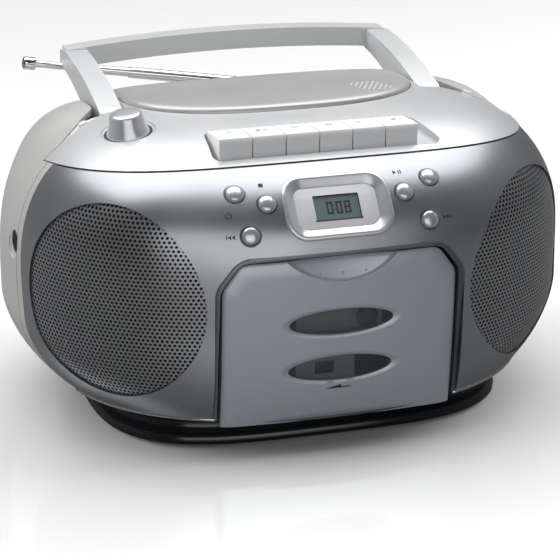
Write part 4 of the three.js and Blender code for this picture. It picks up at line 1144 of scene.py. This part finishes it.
# ---------- lid, handle, knob and sliders ----------
def cd_lid():
    """A shallow dome with a rolled rim and a patch of raised dashes at its right front."""
    turn_count = 180
    def ring(shrink, rise):
        flat = np.array(oval(LID["half_x"] * shrink, LID["half_y"] * shrink, LID["power"], turn_count, 0,
                             LID["y"]))
        skin = surface(np.column_stack([flat, np.full(turn_count, 100.0)]), vec(0, 0, 1))
        return skin + vec(0, 0, 1) * rise
    rim = [(1.0, -5.4), (1.0, -0.4), (0.9985, 0.5), (0.994, 1.3), (0.985, 1.9), (0.972, 2.35), (0.955, 2.6)]
    top = [(s, 2.7 + 0.3 * (1 - s)) for s in (0.93, 0.88, 0.8, 0.7, 0.6, 0.5, 0.4, 0.3, 0.2, 0.1, 0.01)]
    under = [(s, 0.4) for s in (0.01, 0.2, 0.4, 0.6, 0.8, 0.93, 0.965)] + [(0.975, -0.4), (0.975, -5.4)]
    rings = [ring(*step) for step in rim + top + under]
    body = loft("disc_lid", rings + rings[:1], (False, False))
    finish(smooth_by_angle(body, 50), "cd_lid", "lid_silver", ["cd_lid"])
    verts, faces = [], []
    for row in range(6):
        for column in range(-3, 4):
            if abs(column + (row - 2.5) * 0.5) > 3.2:
                continue
            x, y = 52 + column * 3.1 + (row % 2) * 1.5, -12.5 + row * 3.0
            shape = np.array(rectangle(0.95, 0.32, 0.3, 4))
            tilt = math.radians(62)
            spin = np.array([[math.cos(tilt), math.sin(tilt)], [-math.sin(tilt), math.cos(tilt)]])
            flat = shape @ spin + (x, y)
            skin = surface(np.column_stack([flat, np.full(len(flat), 100.0)]), vec(0, 0, 1)) + vec(0, 0,
                2.80)
            at = len(verts)
            verts.extend(skin)
            verts.extend(skin + vec(0, 0, 0.35))
            n = len(flat)
            faces.append(tuple(range(at + n, at + 2 * n)))
            faces.extend((at + i, at + (i + 1) % n, at + n + (i + 1) % n, at + n + i) for i in range(n))
    finish(recalc(make("lid_dashes", verts, faces, False)), "cd_lid", "lid_silver", skin=WHITE)


def handle():
    """Two arms and an arched crossbar, all with rolled edges."""
    lower = [(12, 145), (22, 145.2), (32, 147.2), (45, 150.6), (60, 154.4), (75, 157.8), (88, 160),
             (98, 161)]
    upper = [(108, 172.5), (96, 172.6), (82, 172.1), (66, 170.9), (50, 169.0), (36, 166.6), (24, 164.0)]
    end = arc_points(12, 153, 8, 98, 262, 14)
    outline = end + lower[1:] + rounded([(107.9, 161.2), (110, 163), (110, 170), (108, 172.5)], 1.0,
                                        4) + upper[1:]
    arms = []
    for side in (-1, 1):
        x = (85, 98) if side > 0 else (-98, -85)
        arms.append(prism("arm", outline, "side", *x))
    share = np.linspace(-1, 1, 41)
    rise = 5 * (1 - share ** 2)
    top = list(zip(96.5 * share, 172.5 + rise))
    low = list(zip(96.5 * share, 161.3 + rise))
    bar = prism("carry_bar", low + top[::-1], "front", 97.5, 110)
    body = plus(bar, *arms)
    bore = lathe("bore", [(0, -120), (3, -120), (3, 120), (0, 120)], (0, 12, 153), vec(1, 0, 0), 40)
    less(body, bore)
    body.name = body.data.name = "handle_body"
    finish(bevel(body, 1.5, 4, 42), "carry_handle", "handle_silver", ["carry_handle"])


def knob():
    profile = [(0, -3), (11.6, -3), (11.6, -1.4), (11.2, -0.6), (10.6, 0.8), (10.3, 1.8), (9.3, 5.4),
               (8.7, 8.0), (8.3, 9.0),
               (7.7, 9.5), (6.8, 9.8), (4.0, 10.0), (0, 10.05)]
    body = lathe("volume_cap", profile, KNOB_POINT, KNOB_NORMAL, 96)
    u, v, w = basis(KNOB_NORMAL)
    notch = prism_at("notch", rectangle(0.5, 2.0, 0.4, 5, 0, -6.2), KNOB_POINT, u, v, 9.2, 14)
    less(body, notch)
    finish(smooth_by_angle(body, 42), "volume_knob", "knob_silver", ["volume_knob"])


def sliders():
    for side, name, where in ((-1, "function_slider", "left"), (1, "band_slider", "right")):
        point, n, along, across = slider_place(side)
        across = across if across[1] > 0 else -across
        base = both(half_moon(side, -0.1, -6.0, -0.2), envelope("cap", 0.9, 120, 66))
        base.name = base.data.name = f"{where}_slider_track"
        finish(smooth_by_angle(base, 40), "cabinet", "control_plastic")
        nub = prism_at(f"{name}_nub", rectangle(2.4, 1.8, 0.7), point - across * 0.2, along, across, -1.0,
                       1.7)
        finish(bevel(nub, 0.5, 3), name, "control_plastic", [name])


def tuning_wheel():
    centre, radius, half = TUNER, 24.0, 2.5
    count = 96
    turn = np.arange(count * 2) * math.pi / count
    rings = []
    for y, shrink in ((-half, 1.4), (-half + 0.5, 0.5), (0, 0.0), (half - 0.5, 0.5), (half, 1.4)):
        r = radius - shrink - np.where(np.arange(count * 2) % 2, 0.45, 0) * (abs(y) < half)
        rings.append(np.stack([centre[0] + r * np.cos(turn), np.full(count * 2, centre[1] + y),
                               centre[2] + r * np.sin(turn)], 1))
    wheel = loft("tuning_disc", rings)
    finish(smooth_by_angle(wheel, 45), "tuning_wheel", "control_plastic", ["tuning_wheel"])


# ---------- antenna ----------
PIVOT = vec(92, 115, 127.9)
TIP = vec(-119, 115, 162.6)
ROD = unit(TIP - PIVOT)


def antenna():
    total = float(np.linalg.norm(TIP - PIVOT))
    tube = [(0, -3.4), (2.6, -3.4), (3.3, -2.6), (3.3, 148.4), (3.1, 149.2), (3.1, 150), (2.7, 150),
            (2.7, 2), (0, 1)]
    middle = [(0, 42), (2.6, 42), (2.6, 182.8), (2.45, 183.4), (2.45, 184), (2.05, 184), (2.05, 47),
              (0, 46.5)]
    tip = [(0, 70), (1.95, 70), (1.95, total - 7.6), (2.6, total - 7.4), (3.5, total - 7.2),
           (3.7, total - 6.8), (3.7, total - 0.9),
           (3.3, total - 0.3), (2.6, total), (0, total)]
    finish(smooth_by_angle(lathe("antenna_outer_tube", tube, PIVOT, ROD, 40), 30), "antenna_tube",
           "antenna_chrome", ["antenna_tube"])
    finish(smooth_by_angle(lathe("antenna_second_tube", middle, PIVOT, ROD, 40), 30), "antenna_middle_tube",
           "antenna_chrome",
           ["antenna_middle_tube"])
    finish(smooth_by_angle(lathe("antenna_tip", tip, PIVOT, ROD, 40), 30), "antenna_tip_rod",
           "antenna_chrome", ["antenna_tip_rod"])
    side = np.cross(ROD, vec(0, 1, 0))
    disc = lathe("antenna_swivel", [(0, -8.3), (6.6, -8.3), (7, -7.9), (7, -5.6), (6.6, -5.2), (0, -5.2)],
                 PIVOT, vec(0, 1, 0), 64)
    ears = []
    for low in (3.7, -6.1):
        ears.append(prism_at("ear", rectangle(4, 5, 1.6, 6, 0, -1.5), PIVOT, ROD, vec(0, 1, 0), low,
                             low + 2.4))
    plus(disc, *ears)
    finish(bevel(disc, 0.4, 3), "antenna_knuckle", "antenna_chrome", ["antenna_knuckle"])
    rivet = lathe("antenna_rivet", [(0, -7), (1.6, -7), (2.2, -6.4), (2.2, -6.1), (1.8, -6.1), (1.8, -3.6),
                                    (0, -3.6)], PIVOT, side, 32)
    finish(smooth_by_angle(rivet, 40), "antenna_knuckle", "antenna_chrome")


# ---------- back and sides ----------
def battery_door():
    skin = envelope("battery_cover", 0, 200, 110)
    less(skin, envelope("i", 2.2, 120, 66))
    both(skin, slab("panel", (-69.6, 69.6), (60, FAR), (34.4, 69.6)))
    tools = []
    for index in range(5):
        z = 61.5 - index * 2.4
        groove = prism("grip", rectangle(12, 0.5, 0.4, 4, 0, z), "front", 60, FAR)
        tools.append(less(groove, envelope("keep", 0.9, 120, 66)))
    less(skin, *tools)
    keep_largest(skin)
    finish(envelope_shading(skin), "battery_door", "rear_shell", ["battery_door"])


def jack():
    y, z = JACK_YZ
    x = surface(vec(-100, y, z), vec(-1, 0, 0))[0][0]
    ring = [(1.9, 0.1), (1.9, -12), (4, -12), (4, -2.2), (5.9, -2.2), (5.9, -0.7), (5.2, -0.3), (3.6, -0.3),
            (3.0, 0.1), (1.9, 0.1)]
    finish(smooth_by_angle(lathe("phone_socket", ring, (x, y, z), vec(-1, 0, 0), 48), 40), "cabinet",
           "black_plastic", ["headphone_jack"])


def carried_over():
    """CAD nodes that stay as they are get their material, and a fine rim on their edges."""
    made = {o.get("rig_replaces") and tuple(o["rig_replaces"]) for o in bpy.data.objects}
    gone = {n for names in made if names for n in names}
    slots = {s["node"]: s["material_slot"] for s in frame["record"]["subparts"]}
    for name, obj in frame["nodes"].items():
        if name in gone:
            continue
        obj.data.materials.clear()
        obj.data.materials.append(FINISH[slots[name]])
        rim = obj.modifiers.new("rim", "BEVEL")
        rim.width, rim.segments, rim.limit_method = 0.3 * MM, 2, "ANGLE"
        rim.angle_limit = math.radians(35)
        obj.data.polygons.foreach_set("use_smooth", [True] * len(obj.data.polygons))
        obj.data.set_sharp_from_angle(angle=math.radians(35))


# ---------- stage ----------
def soft_light(name, place, target, size, power, mirrored=True):
    lamp = bpy.data.lights.new(name, "AREA")
    lamp.shape, lamp.size, lamp.size_y = "RECTANGLE", size[0], size[1]
    lamp.energy = power
    obj = bpy.data.objects.new(name, lamp)
    scene.collection.objects.link(obj)
    obj.location = place
    obj.rotation_euler = (Vector(target) - Vector(place)).to_track_quat("-Z", "Y").to_euler()
    obj.visible_glossy = mirrored


def two_tone(tree, seen, bounced):
    """One value for what the camera sees directly, another for light that bounces."""
    path = tree.nodes.new("ShaderNodeLightPath")
    mix = tree.nodes.new("ShaderNodeMix")
    mix.data_type = "RGBA"
    mix.inputs[6].default_value = (bounced, bounced, bounced, 1)
    mix.inputs[7].default_value = (seen, seen, seen, 1)
    tree.links.new(path.outputs["Is Camera Ray"], mix.inputs[0])
    return mix.outputs[2]


def backdrop(tree, sky):
    """A studio that is bright behind the object and dimmer in front of it; the camera sees it white."""
    place = tree.nodes.new("ShaderNodeTexCoord")
    parts = tree.nodes.new("ShaderNodeSeparateXYZ")
    ramp = tree.nodes.new("ShaderNodeMapRange")
    ramp.interpolation_type = "SMOOTHSTEP"
    for key, value in (("From Min", -0.35), ("From Max", 0.3), ("To Min", 0.55), ("To Max", 2.2)):
        ramp.inputs[key].default_value = value
    path = tree.nodes.new("ShaderNodeLightPath")
    most = tree.nodes.new("ShaderNodeMath")
    most.operation = "MAXIMUM"
    side = tree.nodes.new("ShaderNodeMath")
    side.operation = "ABSOLUTE"
    tree.links.new(place.outputs["Generated"], parts.inputs[0])
    tree.links.new(parts.outputs["X"], side.inputs[0])
    total = parts.outputs["Y"]
    for share, weight in ((side.outputs[0], 0.5), (parts.outputs["Z"], 0.3)):
        part = tree.nodes.new("ShaderNodeMath")
        part.operation = "MULTIPLY_ADD"
        part.inputs[1].default_value = weight
        tree.links.new(share, part.inputs[0])
        tree.links.new(total, part.inputs[2])
        total = part.outputs[0]
    tree.links.new(total, ramp.inputs["Value"])
    tree.links.new(ramp.outputs["Result"], most.inputs[0])
    tree.links.new(path.outputs["Is Camera Ray"], most.inputs[1])
    tree.links.new(most.outputs[0], sky.inputs["Strength"])


def stage():
    mesh = bpy.data.meshes.new("floor")
    reach = 6.0
    mesh.from_pydata([(-reach, -reach, 0), (reach, -reach, 0), (reach, reach, 0), (-reach, reach, 0)], [],
                     [(0, 1, 2, 3)])
    floor = bpy.data.objects.new("floor", mesh)
    scene.collection.objects.link(floor)
    paint = material("pale_floor", (0.86, 0.86, 0.86), 0.05, 0.0, 0.0, 50, 0.0, rough_vary=0.0, IOR=2.3)
    shader = paint.node_tree.nodes["Principled BSDF"]
    paint.node_tree.links.new(two_tone(paint.node_tree, 1.0, 0.16), shader.inputs["Base Color"])
    floor.data.materials.append(paint)
    world = bpy.data.worlds.new("studio")
    scene.world = world
    world.use_nodes = True
    sky = world.node_tree.nodes["Background"]
    backdrop(world.node_tree, sky)
    soft_light("overhead", (0.0, 0.8, 2.6), (0, 0, 0.1), (4.0, 2.6), 88)
    soft_light("front", (-0.3, -2.4, 0.75), (0, 0, 0.1), (2.4, 1.6), 16)
    soft_light("left_fill", (-1.5, 0.5, 0.7), (0, 0, 0.1), (1.2, 0.8), 17, False)
    soft_light("right_fill", (1.5, 0.2, 0.9), (0, 0, 0.1), (1.2, 0.8), 17, False)
    scene.view_settings.view_transform = "Standard"


def camera():
    """Looks from the left of the front and above, through a long lens."""
    azimuth, elevation, roll, distance = math.radians(-17.0), math.radians(19.6), math.radians(0.1), 1.291
    target = Vector((0, -0.005, 0.0592))
    back = Vector((math.sin(azimuth) * math.cos(elevation), -math.cos(azimuth) * math.cos(elevation),
                   math.sin(elevation)))
    right = Vector((math.cos(azimuth), math.sin(azimuth), 0))
    up = back.cross(right)
    right, up = math.cos(roll) * right + math.sin(roll) * up, -math.sin(roll) * right + math.cos(roll) * up
    lens = bpy.data.cameras.new("camera")
    lens.sensor_width, lens.lens = 36, 147.66
    lens.shift_x, lens.shift_y = 0.00125, -0.0046
    lens.clip_start, lens.clip_end = 0.05, 30
    obj = bpy.data.objects.new("camera", lens)
    scene.collection.objects.link(obj)
    turn = Matrix((right, up, back)).transposed().to_4x4()
    turn.translation = target + back * distance
    obj.matrix_world = turn
    scene.camera = obj


camera()
front_cabinet()
door_surround()
front_lip()
top_cabinet()
rear_cabinet()
screws()
plinth()
feet()
grille(-1, "left")
grille(1, "right")
display()
buttons()
front_marks()
keys()
cassette_door()
cd_lid()
handle()
knob()
sliders()
tuning_wheel()
antenna()
battery_door()
jack()
carried_over()
stage()
